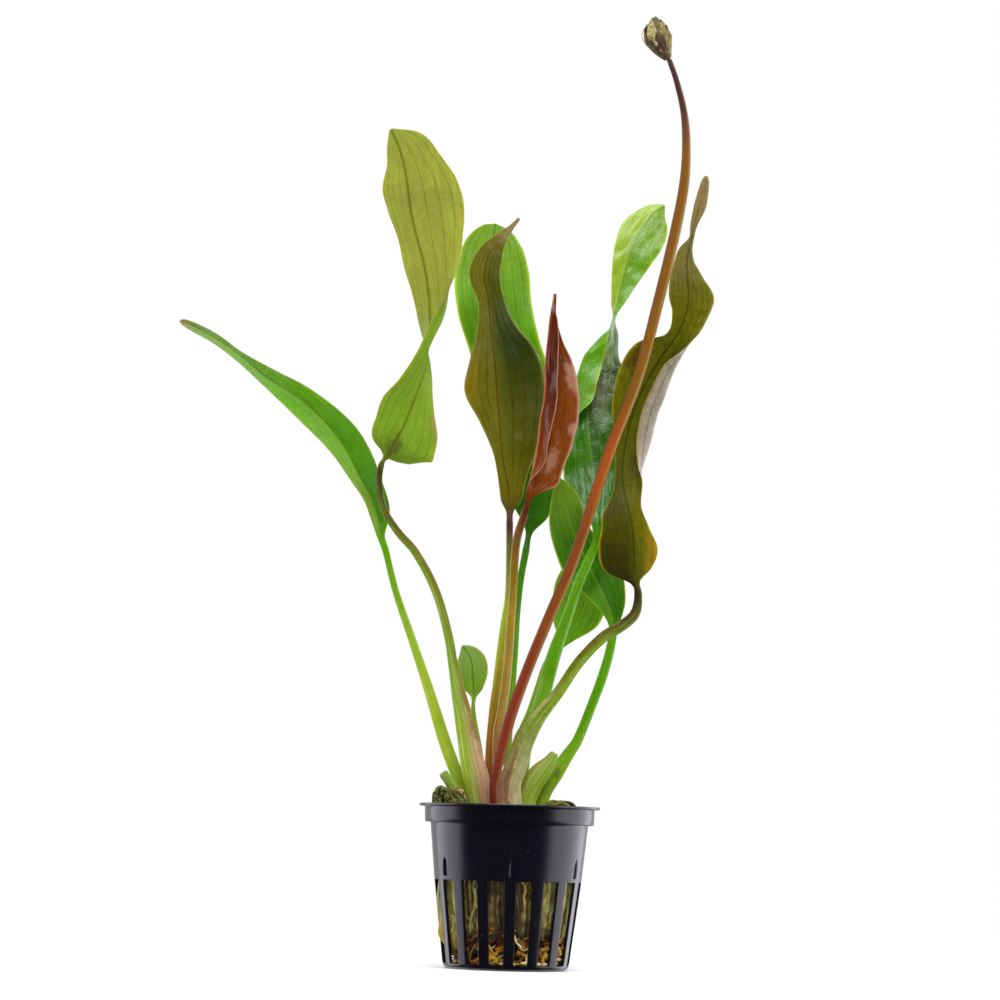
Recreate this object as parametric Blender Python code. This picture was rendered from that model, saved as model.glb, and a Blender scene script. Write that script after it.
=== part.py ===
# Potted echinodorus: a sword plant in a slotted net pot.
# Stations and driving sizes are in millimetres; MM turns them into metres.
# +X is to the right, +Z up, and -Y is the side with the flower stalk.
# The origin is the middle of the pot's underside.
import math

import bmesh
import bpy
from mathutils import Matrix, Vector

MM = 0.001

# Pot
POT_HEIGHT = 49.5
LIP_RADIUS = 27.5
LIP_THICKNESS = 0.8
BAND_RADIUS = 25.9
BAND_FOOT_RADIUS = 25.7
BAND_FOOT = 43.9
WALL_TOP_RADIUS = 24.0
SLOT_TOP_RADIUS = 22.3
WALL_FOOT_RADIUS = 19.3
WALL_FOOT = 2.4
BASE_RADIUS = 17.4
WALL = 1.0
FLOOR = 1.2
POT_SEGMENTS = 48

# Slots and dents of the pot
SLOT_COUNT = 16
SLOT_FOOT = 1.7
SLOT_TOP = 26.6
SLOT_ANGLE = 13.0
SLOT_START_ANGLE = 2.0
DENT_COUNT = 6
DENT_FOOT = 27.8
DENT_TOP = 34.0
DENT_WIDTH = 2.2
DENT_DEPTH = 0.6
DENT_START_ANGLE = 3.0
FLOOR_SLOT_COUNT = 8
FLOOR_SLOT_START = 8.0
FLOOR_SLOT_END = 15.0
FLOOR_SLOT_WIDTH = 2.2

# Filling
GAP = 0.3
WOOL_TOP = 45.0
WOOL_FOOT = 11.5
WOOL_SEGMENTS = 24
FUNNEL_TOP_RADIUS = 15.0
CROWN_TOP = 30.0
CROWN_RADIUS = 10.4
CROWN_FOOT = 19.5
ROOT_MAT_RADIUS = 15.5

# Leaves and stalks
SHEET = 0.8
RIB_AT_TIP = 0.45
STEM_DEPTH = 0.42
STEM_DEPTH_MOST = 1.15
TIP_WIDTH = 0.5
TIP_FOLD = 0.3
THICKEST_SHARE = 0.4
STEM_SPACING = 9.0
BLADE_SPACING = 6.0
BEND = (0.4, 0.8)
BEND_STEPS = 20
PLAIN_PLACES = (0.0, 0.5, 1.0)

# A stem station is x, y, z and width. A blade station is x, y, z and the widths of
# the left and right halves. Each leaf's cups are how far its halves lean to the
# front, in degrees. turns, left_curls and right_curls follow the blade's stations, and
# bend is where across a half it curls, if not at BEND.
LEAVES = {
    "leaf_far_left": {
        "paint": "green_leaf",
        "cups": (25, 32),
        "stem": [(-7.4, 2.2, 31, 3.4), (-14.5, 1.5, 53.5, 3.8), (-20.1, 1.5, 67.5, 3.8),
                 (-25.6, 2, 83.5, 3.1), (-30.7, 2, 97.5, 2.5), (-37, 2.5, 114.5, 2.1),
                 (-40.5, 3, 127, 2.1)],
        "blade": [(-42, 3, 131, 1.2, 1.3), (-43.5, 5, 137, 2, 4.5), (-45.5, 7, 143, 2.6, 6),
                  (-49.5, 10, 150, 3.4, 7.5), (-56.5, 14, 162, 5.2, 7.6),
                  (-67.5, 19, 173.5, 5.8, 5.3), (-80, 24, 182, 3, 3.8),
                  (-89.5, 27, 189.5, 2.2, 1.6), (-97.5, 29, 195, 1.9, 1.8),
                  (-104.5, 31, 198.8, 1.8, 1.6), (-108, 31.8, 200.4, 1.2, 1.2),
                  (-109.2, 32, 200.9, TIP_WIDTH, TIP_WIDTH)],
    },
    "leaf_upper_left": {
        "paint": "olive_leaf",
        "cups": (0, 0),
        "stem": [(-5.6, -4.2, 31, 5), (-10.2, -5.2, 56.3, 7.8), (-12, -5.2, 63, 7.3),
                 (-13.5, -5, 69.8, 6.3), (-15, -5, 76.6, 5.4), (-16.7, -5, 83.5, 4.2),
                 (-18.2, -5.1, 90.1, 3.1), (-20.2, -5.5, 100.5, 2.7), (-24.5, -6, 114, 2.6),
                 (-31, -6.5, 125.5, 2.4), (-36.5, -7, 131.5, 2.3), (-41, -7.5, 138.5, 2),
                 (-42.6, -8, 146.5, 1.9), (-42.2, -8, 151.5, 1.9)],
        "blade": [(-40.8, -8, 154.2, 1, 1), (-39.8, -8, 155.6, 4.6, 7),
                  (-38.3, -8.5, 158.8, 8, 12.8), (-35.9, -9, 163, 9, 11.6),
                  (-33.5, -9.5, 169.5, 9.2, 7.8), (-31.4, -10, 175.5, 7, 5),
                  (-29.8, -10, 181.5, 6.2, 4.2), (-28.7, -10, 189, 6.4, 4.4),
                  (-28.5, -10, 197, 9.2, 4.4), (-29.3, -11, 205.5, 10.6, 5.2),
                  (-31, -12, 214, 12.4, 6.2), (-33.5, -13, 222.5, 15.2, 5.8),
                  (-35.5, -15, 230.5, 16.4, 7), (-36.5, -17, 237, 15, 7.8),
                  (-38, -18, 244, 11.2, 5.2), (-40, -19, 249.5, 8, 3.4),
                  (-42, -20, 253.5, 0.6, 0.6)],
        "turns": [0, 0, 0, 0, -8, -25, -60, -105, -150, -168, -175, -175, -175, -175,
                  -175, -175, -175],
        "left_curls": [0, 0, 0, 0, 0, 0, 0, -20, -60, -50, -20, 0, 0, 0, 0, 0, 0],
    },
    "leaf_rear": {
        "paint": "green_leaf",
        "cups": (8, 8),
        "stem": [(-0.6, 1.2, 31, 2), (-1.1, 3, 69.5, 2.6), (-0.8, 4.5, 81, 2.8),
                 (0.1, 7, 97.5, 2.5), (0.5, 9, 108.5, 2.3), (1.4, 10.4, 119, 2.2),
                 (2.8, 11.3, 128, 2.2)],
        "blade": [(3.8, 12.5, 134.5, 1.2, 1.2), (4.2, 14, 140.5, 4.3, 6.2),
                  (2.5, 17, 151, 7.6, 9.4), (-0.5, 20, 164, 8.8, 11), (-2.5, 24, 179, 13, 13),
                  (-6, 27, 193.5, 10.5, 12.2), (-9, 30, 207, 12, 12),
                  (-10.5, 33, 218.5, 11.7, 12.3), (-10.5, 35, 227.5, 9.4, 10.2),
                  (-10, 36, 232.5, 6.6, 7), (-9.7, 36.4, 235, 3.6, 3.8),
                  (-9.5, 36.6, 236, TIP_WIDTH, TIP_WIDTH)],
    },
    "leaf_centre": {
        "paint": "olive_leaf",
        "cups": (6, 6),
        "stem": [(-4.4, 0.4, 31, 1.8), (-6.7, 1, 61.5, 2.4), (-5.9, 1, 77.5, 2.6),
                 (-5, 1.4, 86, 2.6), (-4, 2, 97, 2.5), (-3.1, 2.3, 106, 2.3), (-2.3, 2.8, 113, 2),
                 (-2.2, 3, 124.5, 2), (-2.4, 3.5, 135.5, 2.1)],
        "blade": [(-2.5, 4, 139.8, 1.1, 1.2), (-2.7, 4.3, 143, 2.5, 3.8),
                  (-3.2, 4.5, 147.5, 2.8, 5.4), (-4.5, 5, 153, 2.4, 8.6),
                  (-5.5, 5.5, 159, 2.9, 11.7), (-6.5, 7, 168.5, 6.2, 14.2),
                  (-7.5, 8, 178, 10.2, 15.3), (-8.5, 9, 187.5, 8, 13.8),
                  (-10, 11, 197.5, 4.4, 8.2), (-11, 13, 207, 3.3, 5), (-12.5, 14, 215.5, 5, 5),
                  (-11, 15, 222.5, 3.6, 4.4), (-7.5, 15.5, 227.5, 1.9, 2.1),
                  (-4.5, 16, 231, 0.9, 0.9), (-2, 16, 234, TIP_WIDTH, TIP_WIDTH)],
    },
    "leaf_young_red": {
        "paint": "red_leaf",
        "cups": (140, -15),
        "stem": [(-2.2, -1.9, 31, 2.4), (-4.5, -2, 69.5, 2.8), (-3.4, -2.5, 77.5, 2.9),
                 (-2.3, -3, 86, 2.9), (-1.5, -3.7, 100, 2.8), (-0.9, -4.2, 112.4, 2.6),
                 (-0.6, -5, 124.5, 2.5), (0, -5, 131, 2.5), (1.8, -5.5, 137.3, 2.4)],
        "blade": [(3.5, -6, 143.5, 1.1, 1), (4, -6, 148, 2.1, 7.6), (5, -6.5, 153.5, 3.2, 8.8),
                  (6, -7, 160.5, 3.6, 10.4), (6.5, -7.5, 167.5, 4.6, 11.6),
                  (7.5, -8, 174.5, 4.5, 10.8), (7.5, -8.5, 185, 4.6, 8.5),
                  (8, -9, 193, 3.8, 4.1), (8.5, -9, 199.5, 2.1, 1.7),
                  (9.5, -9, 206, TIP_WIDTH, TIP_WIDTH)],
    },
    "leaf_twisted_right": {
        "paint": "green_leaf",
        "cups": (0, 0),
        "stem": [(3.2, 1.4, 31, 4), (4, 2, 66, 4.2), (8.7, 2.5, 81, 4.5), (11.9, 3.5, 94.5, 4.4),
                 (16.3, 4, 108.5, 3.2), (19, 4.5, 117, 3.1), (22, 5, 125, 3.1)],
        "blade": [(24.5, 5, 131.5, 1.3, 1.3), (24.5, 6, 138, 2.2, 3.4), (24, 9.5, 146.5, 8.6, 6.8),
                  (23, 13, 156, 9.3, 9.3), (21.5, 15, 166.5, 7.8, 11.2),
                  (21, 17, 175.5, 9.7, 10.9), (21.6, 18, 183.5, 11.9, 10.8),
                  (24, 19, 192.5, 8.2, 8.8), (27.4, 20, 198.5, 3.6, 5.2), (28.8, 20, 203, 2.7, 3),
                  (30, 21, 209.5, 3, 2.6), (31.5, 22, 218, 5.9, 3.8), (33.5, 23, 226, 8.4, 5.2),
                  (36.5, 25, 233, 9, 6), (40.5, 27, 239, 6.2, 3.4),
                  (44.2, 28.6, 242, 1, 1)],
        "turns": [0, 0, 0, 0, 0, 0, 0, -10, -45, -95, -150, -172, -175, -175, -175, -175],
        "left_curls": [0, 0, 0, 0, 50, 150, 165, 160, 60, -15, 0, 0, 0, 0, 0, 0],
        "right_curls": [0, 0, 0, 0, 0, 0, 0, 0, 0, 25, 0, 0, 0, 0, 0, 0],
        "bend": (0.3, 0.5),
    },
    "leaf_low_green": {
        "paint": "green_leaf",
        "cups": (5, 5),
        "stem": [(8.2, 2.4, 31, 4.2), (9.8, 2, 52, 4.6), (14, 2, 60, 4.6), (17.4, 2.5, 65.5, 3.7),
                 (20.2, 3, 70, 3.1), (24.9, 3.5, 82.5, 2.9), (27.3, 4, 89.5, 3),
                 (29.4, 4.5, 97.5, 2.8)],
        "blade": [(30.5, 5, 105, 1.5, 1.5), (29, 7, 111, 2.8, 5.4), (26, 9.5, 117.5, 5.2, 8.3),
                  (22.5, 12, 124.5, 8, 8.7), (19.5, 11, 130.5, 8, 6), (16.5, 7, 136.5, 6.9, 5),
                  (14.5, 3.5, 142.5, 4.9, 4.9), (13, 2.6, 147, 2.4, 3.8),
                  (12, 2, 150.5, TIP_WIDTH, TIP_WIDTH)],
    },
    "leaf_low_rear": {
        "paint": "pale_leaf",
        "cups": (0, 0),
        "stem": [(1, 4.8, 31, 1.5), (1.6, 8, 68, 1.7), (5.4, 10, 79, 1.7), (7.4, 12, 85.7, 1.6),
                 (10, 15, 93.8, 1.6)],
        "blade": [(14, 18, 99, 1, 1), (15.5, 19, 102, 2.2, 2.8), (17, 20, 106.5, 5.3, 7),
                  (19, 22, 112, 7.5, 9.1), (20.5, 23, 118.5, 8.1, 8.1), (22, 24, 124, 6.3, 5.3),
                  (23.5, 25, 129.5, TIP_WIDTH, TIP_WIDTH)],
    },
    "leaf_wavy_right": {
        "paint": "brown_leaf",
        "cups": (8, 5),
        "stem": [(3.2, -4.4, 31, 6.4), (-0.3, -4.2, 55, 7), (1.2, -4.5, 60.5, 6.8),
                 (2.8, -5, 66, 6.3), (4.2, -5.6, 70.3, 6.3), (8.1, -6.4, 76.7, 4.7),
                 (13.6, -7.2, 83.7, 3.5), (19.6, -8, 93, 3.3), (26.9, -8, 101, 3.3),
                 (32.3, -8, 104.5, 3.3), (36.4, -8, 108.5, 3.1), (37.2, -8, 114.5, 2.4)],
        "blade": [(36.2, -8, 118, 1.5, 1.5), (35.7, -8.5, 121.8, 9, 5.2),
                  (35.5, -9.5, 128, 10.9, 7.3), (35, -10, 134, 10, 5), (33.5, -9.5, 140.5, 8, 4.2),
                  (32, -8, 146, 3.2, 8), (31.5, -6.5, 153, 2.2, 11),
                  (32.5, -5.5, 161.5, 3.6, 13.4), (34.5, -5.5, 170.5, 7, 13.8),
                  (38, -6.5, 179, 9.2, 13.2), (42, -8, 186.5, 9, 10.6), (46.5, -10, 193, 3, 7.4),
                  (49.6, -11, 200, 4.4, 6.8), (50.3, -11, 205.5, 6, 8), (50, -11, 211, 5.6, 5),
                  (49.6, -10, 216.5, 3.9, 2.6), (50.2, -9.5, 220.6, 3, 1.2),
                  (51, -9, 224.5, 0.8, 0.8), (51.6, -9, 228.5, 1.1, 1.1),
                  (53.2, -9.5, 234.5, 1.7, 2.1), (54.5, -10, 240.3, 1.5, 1.5),
                  (54.9, -10, 242.6, 1.1, 1.1), (55.1, -10, 243.8, TIP_WIDTH, TIP_WIDTH)],
        "right_curls": [0, 0, 0, 0, 20, 60, 110, 150, 160, 160, 150, 90, 20] + [0] * 10,
    },
    "leaf_small_round": {
        "paint": "green_leaf",
        "cups": (5, 5),
        "stem": [(-4.2, 5, 31, 1.2), (-9, 6, 64, 1.2), (-12, 7.5, 78, 1.4)],
        "blade": [(-12, 8, 82.5, 0.8, 0.8), (-12, 8.5, 84.5, 2.8, 2.5), (-12.5, 9, 89, 4.9, 4.6),
                  (-13, 9.5, 93.5, 5.2, 4.6), (-14.5, 10, 96.5, 3.1, 2.8),
                  (-16, 10, 98.2, TIP_WIDTH, TIP_WIDTH)],
    },
}

# A stalk station is x, y, z and width.
FLOWER_STALK = [(-1.8, -6.6, 31, 3.2), (-5, -7.8, 54, 2.8), (-3.5, -8.5, 63.5, 3.1),
                (-2, -9, 70.2, 3.3), (-0.3, -9.5, 77, 3.4), (4.2, -10.5, 90.5, 3.4),
                (10.3, -12, 106.5, 3.4), (17.2, -13.5, 124, 3.3), (27.2, -17, 157, 3.3),
                (35.3, -19, 180, 3.3), (40.6, -20, 202, 3.4), (45.5, -21, 225, 3.4),
                (47.8, -21.5, 240, 3.1), (48, -22, 252.5, 2.6), (47, -22, 261.5, 2.2),
                (44.5, -22, 271, 1.8), (42.3, -22, 277, 1.6)]
CUT_STEMS = {
    "cut_stem_left": [(-8.6, -1.2, 31, 2.7), (-14, -2.4, 50, 2.7), (-17.6, -3.4, 54.6, 2.9),
                      (-20.5, -4, 58.6, 2.9)],
    "cut_stem_right": [(6.6, -1, 31, 4.2), (4.8, -1.1, 50, 6.2), (6.7, -1.3, 56, 6.5),
                       (8.9, -1.6, 59.5, 6.3), (11.6, -2, 62.9, 4.2), (13.1, -2.3, 65.5, 2.6)],
}
CUT_STEM_FLATNESS = {"cut_stem_left": 0.85, "cut_stem_right": 0.32}

# A bud station is x, y, z and radius.
BUD_LINE = [(42, -22, 277.4, 1), (40.8, -22, 279.2, 2.6), (39.8, -22, 281.5, 3.5),
            (38.4, -22, 284.2, 4.1), (38, -22, 286.4, 3.7), (37.5, -22, 288.5, 2.7),
            (37.4, -22, 289.7, 1.6), (37.4, -22, 290.5, 0.5)]
BUD_SIDES = 9
BUD_LOBES = 3
BUD_LOBE_DEPTH = 0.08
STALK_SIDES = 8

# Tufts: angles round the pot in degrees, ring radius and height of the clump.
TUFTS = {
    "moss_left": {"from": 180, "to": 234, "ring": 21.1, "foot": 45.3, "top": 54, "half": 3.1},
    "moss_right": {"from": 298, "to": 334, "ring": 20.6, "foot": 45.3, "top": 51, "half": 2.4},
}

PAINTS = {
    "black_plastic": ((0.012, 0.012, 0.015), 0.35),
    "wool": ((0.20, 0.17, 0.07), 0.95),
    "root": ((0.26, 0.15, 0.05), 0.8),
    "green_leaf": ((0.13, 0.30, 0.03), 0.4),
    "pale_leaf": ((0.30, 0.42, 0.12), 0.5),
    "olive_leaf": ((0.20, 0.20, 0.05), 0.4),
    "red_leaf": ((0.30, 0.07, 0.03), 0.35),
    "brown_leaf": ((0.16, 0.13, 0.05), 0.4),
    "stalk": ((0.35, 0.13, 0.05), 0.4),
    "bud": ((0.30, 0.24, 0.08), 0.6),
    "moss": ((0.06, 0.08, 0.04), 0.95),
}


def clear_scene():
    for old in list(bpy.data.objects):
        bpy.data.objects.remove(old, do_unlink=True)


def paint(name):
    """The named finish, made the first time it is asked for."""
    material = bpy.data.materials.get(name)
    if material is None:
        colour, roughness = PAINTS[name]
        material = bpy.data.materials.new(name)
        material.use_nodes = True
        shader = material.node_tree.nodes["Principled BSDF"]
        shader.inputs["Base Color"].default_value = (*colour, 1.0)
        shader.inputs["Roughness"].default_value = roughness
        shader.inputs["Metallic"].default_value = 0.0
    return material


def add_piece(name, shape, material_name):
    """Turn a bmesh in millimetres into a named object in metres."""
    bmesh.ops.recalc_face_normals(shape, faces=shape.faces)
    bmesh.ops.scale(shape, vec=(MM, MM, MM), verts=shape.verts)
    mesh = bpy.data.meshes.new(name)
    shape.to_mesh(mesh)
    shape.free()
    mesh.shade_smooth()
    mesh.set_sharp_from_angle(angle=math.radians(40))
    piece = bpy.data.objects.new(name, mesh)
    piece.data.materials.append(paint(material_name))
    bpy.context.collection.objects.link(piece)
    return piece


def turned(profile, segments):
    """A solid of revolution; the profile of radius and height starts and ends on the axis."""
    shape = bmesh.new()
    corners = [shape.verts.new((radius, 0, height)) for radius, height in profile]
    edges = [shape.edges.new(pair) for pair in zip(corners, corners[1:])]
    bmesh.ops.spin(shape, geom=corners + edges, cent=(0, 0, 0), axis=(0, 0, 1),
                   angle=math.tau, steps=segments, use_merge=True)
    bmesh.ops.remove_doubles(shape, verts=shape.verts, dist=0.001)
    return shape


def pot_wall_radius(height):
    """Outer radius of the slotted wall, which tapers a little faster below the slots' tops."""
    if height > SLOT_TOP:
        share = (height - SLOT_TOP) / (BAND_FOOT - SLOT_TOP)
        return SLOT_TOP_RADIUS + share * (WALL_TOP_RADIUS - SLOT_TOP_RADIUS)
    share = (height - WALL_FOOT) / (SLOT_TOP - WALL_FOOT)
    return WALL_FOOT_RADIUS + share * (SLOT_TOP_RADIUS - WALL_FOOT_RADIUS)


def wedge(shape, angle, inner, outer, half_foot, half_top, foot, top):
    """A six-sided cutter pointing outwards at an angle; widths grow with the radius."""
    box = bmesh.ops.create_cube(shape, size=2)["verts"]
    for vert in box:
        radius = outer if vert.co.x > 0 else inner
        half = half_top if vert.co.z > 0 else half_foot
        vert.co = Vector((radius, vert.co.y * half * radius / outer, top if vert.co.z > 0 else foot))
    bmesh.ops.rotate(shape, verts=box, matrix=Matrix.Rotation(math.radians(angle), 3, "Z"))


def make_pot_cutter():
    """Slots through the wall and the floor, and the pointed dents above the slots."""
    shape = bmesh.new()
    reach = LIP_RADIUS
    half_slot = reach * math.tan(math.radians(SLOT_ANGLE / 2))
    for index in range(SLOT_COUNT):
        angle = SLOT_START_ANGLE + (index + 0.5) * 360 / SLOT_COUNT
        wedge(shape, angle, ROOT_MAT_RADIUS + 0.5, reach, half_slot, half_slot, SLOT_FOOT, SLOT_TOP)
    for index in range(DENT_COUNT):
        angle = -90 + DENT_START_ANGLE + index * 360 / DENT_COUNT
        wall = pot_wall_radius(DENT_FOOT)
        lean = pot_wall_radius(DENT_TOP) - wall
        box = bmesh.ops.create_cube(shape, size=2)["verts"]
        for vert in box:
            high = vert.co.z > 0
            radius = wall - DENT_DEPTH + (lean if high else 0) + (3 if vert.co.x > 0 else 0)
            half = 0.1 if high else DENT_WIDTH / 2
            vert.co = Vector((radius, vert.co.y * half, DENT_TOP if high else DENT_FOOT))
        bmesh.ops.rotate(shape, verts=box, matrix=Matrix.Rotation(math.radians(angle), 3, "Z"))
    for index in range(FLOOR_SLOT_COUNT):
        angle = index * 360 / FLOOR_SLOT_COUNT
        half = FLOOR_SLOT_WIDTH / 2
        wedge(shape, angle, FLOOR_SLOT_START, FLOOR_SLOT_END, half, half, -FLOOR, 2 * FLOOR)
    cutter = add_piece("pot_cutter", shape, "black_plastic")
    cutter.hide_render = True
    cutter.display_type = "WIRE"
    return cutter


def make_pot():
    lip_foot = POT_HEIGHT - LIP_THICKNESS
    outside = [(0, 0), (BASE_RADIUS, 0), (WALL_FOOT_RADIUS - 0.6, 0.7), (WALL_FOOT_RADIUS, WALL_FOOT),
               (SLOT_TOP_RADIUS, SLOT_TOP), (WALL_TOP_RADIUS, BAND_FOOT),
               (BAND_FOOT_RADIUS, BAND_FOOT), (BAND_RADIUS, lip_foot), (LIP_RADIUS, lip_foot),
               (LIP_RADIUS, POT_HEIGHT)]
    inside = [(BAND_RADIUS - WALL, POT_HEIGHT), (BAND_FOOT_RADIUS - WALL, BAND_FOOT + WALL),
              (WALL_TOP_RADIUS - WALL, BAND_FOOT - WALL), (SLOT_TOP_RADIUS - WALL, SLOT_TOP),
              (WALL_FOOT_RADIUS - WALL, WALL_FOOT), (BASE_RADIUS - WALL, FLOOR), (0, FLOOR)]
    pot = add_piece("pot", turned(outside + inside, POT_SEGMENTS), "black_plastic")
    cut = pot.modifiers.new("slots and dents", "BOOLEAN")
    cut.operation = "DIFFERENCE"
    cut.solver = "EXACT"
    cut.object = make_pot_cutter()


def make_wool():
    outer_top = BAND_FOOT - 2 * WALL
    outside = [(0, WOOL_FOOT), (pot_wall_radius(WOOL_FOOT) - WALL - GAP, WOOL_FOOT),
               (SLOT_TOP_RADIUS - WALL - GAP, SLOT_TOP),
               (pot_wall_radius(outer_top) - WALL - GAP, outer_top),
               (WALL_TOP_RADIUS - WALL - GAP, WOOL_TOP)]
    funnel = [(FUNNEL_TOP_RADIUS, WOOL_TOP), (CROWN_RADIUS + 0.8, CROWN_TOP),
              (CROWN_RADIUS + GAP, CROWN_TOP - 3), (CROWN_RADIUS - 4 + GAP, CROWN_FOOT - GAP),
              (0, CROWN_FOOT - GAP)]
    add_piece("rock_wool", turned(outside + funnel, WOOL_SEGMENTS), "wool")


def make_crown():
    profile = [(0, CROWN_FOOT), (CROWN_RADIUS - 4, CROWN_FOOT), (CROWN_RADIUS, CROWN_TOP - 3),
               (CROWN_RADIUS - 1.5, CROWN_TOP), (0, CROWN_TOP)]
    add_piece("crown", turned(profile, WOOL_SEGMENTS), "root")


def make_root_mat():
    foot = FLOOR + GAP
    top = WOOL_FOOT - GAP
    middle = (foot + top) / 2
    profile = [(0, foot), (ROOT_MAT_RADIUS - 2, foot), (ROOT_MAT_RADIUS, middle),
               (ROOT_MAT_RADIUS - 0.5, top), (0, top)]
    add_piece("root_mat", turned(profile, WOOL_SEGMENTS), "root")


def smooth_rows(stations, spacings):
    """Rows on a smooth curve through the stations, each span cut to about its spacing."""
    along = [0.0]
    for start, end in zip(stations, stations[1:]):
        along.append(along[-1] + max(math.dist(start[:3], end[:3]), 0.1))
    last = len(stations) - 1

    def slope(index, value):
        low, high = max(index - 1, 0), min(index + 1, last)
        return (stations[high][value] - stations[low][value]) / (along[high] - along[low])

    rows = []
    for index in range(last):
        length = along[index + 1] - along[index]
        steps = max(1, round(length / spacings[index]))
        for step in range(steps):
            t = step / steps
            weights = (2 * t**3 - 3 * t**2 + 1, t**3 - 2 * t**2 + t, 3 * t**2 - 2 * t**3, t**3 - t**2)
            rows.append([weights[0] * stations[index][value]
                         + weights[1] * length * slope(index, value)
                         + weights[2] * stations[index + 1][value]
                         + weights[3] * length * slope(index + 1, value)
                         for value in range(len(stations[0]))])
    rows.append(list(stations[last]))
    return rows


def frames(rows):
    """Centre, sideways and frontal directions for each row; sideways lies in the front view."""
    centres = [Vector(row[:3]) for row in rows]
    result = []
    for index, centre in enumerate(centres):
        tangent = centres[min(index + 1, len(rows) - 1)] - centres[max(index - 1, 0)]
        tangent.normalize()
        side = Vector((0, 1, 0)).cross(tangent).normalized()
        result.append((centre, side, side.cross(tangent)))
    return result


def half_section(side, front, width, lean, curl, curve, mirrored):
    """Offsets and outward normals across one half of a blade, from midrib to margin."""
    places, bend_range = curve
    sign = -1 if mirrored else 1
    offset = Vector((0, 0, 0))
    result = []
    for step in range(BEND_STEPS + 1):
        share = step / BEND_STEPS
        bend = min(max((share - bend_range[0]) / (bend_range[1] - bend_range[0]), 0), 1)
        angle = math.radians(lean + curl * bend * bend * (3 - 2 * bend))
        along = sign * side * math.cos(angle) + front * math.sin(angle)
        normal = front * math.cos(angle) - sign * side * math.sin(angle)
        if any(abs(share - place) < 0.5 / BEND_STEPS for place in places):
            result.append((offset.copy(), normal, share * width))
        offset = offset + along * width / BEND_STEPS
    return result


def leaf_ring(frame, row, cups, curve):
    """Corner points round a leaf at one row, over its face and back across its underside."""
    centre, side, front = frame
    left, right, turn, left_curl, right_curl, share, rib_width, rib_depth, sheet = row[3:]
    left_half = half_section(side, front, left, cups[0] * share - turn, left_curl, curve, True)
    right_half = half_section(side, front, right, cups[1] * share + turn, right_curl, curve, False)
    middle = (left_half[0][1] + right_half[0][1]).normalized()
    across = left_half[:0:-1] + [(Vector((0, 0, 0)), middle, 0)] + right_half[1:]
    face, underside = [], []
    for place, (offset, normal, reach) in enumerate(across):
        rib = rib_depth * math.sqrt(max(0, 1 - (reach / rib_width) ** 2))
        half = left if place < len(left_half) else right
        depth = min(max(sheet / 2, rib), half * THICKEST_SHARE)
        if place in (0, len(across) - 1):
            depth = 0
        face.append(centre + offset + normal * depth)
        underside.append(centre + offset - normal * depth)
    return face + underside[-2:0:-1]


def lofted(rings):
    """A closed skin over rings of equal length, each end closed by one face."""
    shape = bmesh.new()
    loops = []
    for ring in rings:
        corners = [shape.verts.new(point) for point in ring]
        loops.append([shape.edges.new((corners[i - 1], corners[i])) for i in range(len(corners))])
    for lower, upper in zip(loops, loops[1:]):
        bridge_rings(shape, lower, upper)
    for loop in (loops[0], loops[-1]):
        bmesh.ops.contextual_create(shape, geom=loop)
    return shape


def bridge_rings(shape, lower, upper):
    """Four-sided faces between two rings, corner to corner."""
    for one, other in zip(lower, upper):
        shape.faces.new((one.verts[0], one.verts[1], other.verts[1], other.verts[0]))


def leaf_stations(leaf):
    """Stem and blade as one list of stations with every value that a row needs."""
    stations = []
    for x, y, z, width in leaf["stem"]:
        depth = min(width * STEM_DEPTH, STEM_DEPTH_MOST)
        stations.append((x, y, z, width / 2, width / 2, 0, 0, 0, 0, width / 2, depth, 0))
    root = stations[-1][9]
    count = len(leaf["blade"])
    none = [0] * count
    turns = leaf.get("turns", none)
    left_curls = leaf.get("left_curls", none)
    right_curls = leaf.get("right_curls", none)
    for index, (x, y, z, left, right) in enumerate(leaf["blade"]):
        rib = root + (RIB_AT_TIP - root) * index / (count - 1)
        fold = TIP_FOLD if index == count - 1 else min(index / 2, 1)
        stations.append((x, y, z, left, right, turns[index], left_curls[index],
                         right_curls[index], fold, rib, min(rib, STEM_DEPTH_MOST) * 0.9, SHEET))
    return stations


def make_leaf(name, leaf):
    stations = leaf_stations(leaf)
    stems = len(leaf["stem"])
    spacings = [STEM_SPACING] * stems + [BLADE_SPACING] * len(leaf["blade"])
    curled = "left_curls" in leaf or "right_curls" in leaf
    low, high = leaf.get("bend", BEND)
    places = (0.0, low, (low + high) / 2, high, 1.0) if curled else PLAIN_PLACES
    rows = smooth_rows(stations, spacings)
    for row in rows:
        row[3] = max(row[3], TIP_WIDTH)
        row[4] = max(row[4], TIP_WIDTH)
    rings = [leaf_ring(frame, row, leaf["cups"], (places, (low, high)))
             for frame, row in zip(frames(rows), rows)]
    add_piece(name, lofted(rings), leaf["paint"])


def tube_rings(rows, sides, flatness=1.0, lobes=0, lobe_depth=0.0):
    """Rings round a line of x, y, z and radius."""
    rings = []
    for (centre, side, front), row in zip(frames(rows), rows):
        ring = []
        for index in range(sides):
            angle = math.tau * index / sides
            radius = row[3] * (1 + lobe_depth * math.cos(lobes * angle))
            ring.append(centre + side * radius * math.cos(angle)
                        + front * radius * flatness * math.sin(angle))
        rings.append(ring)
    return rings


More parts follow.
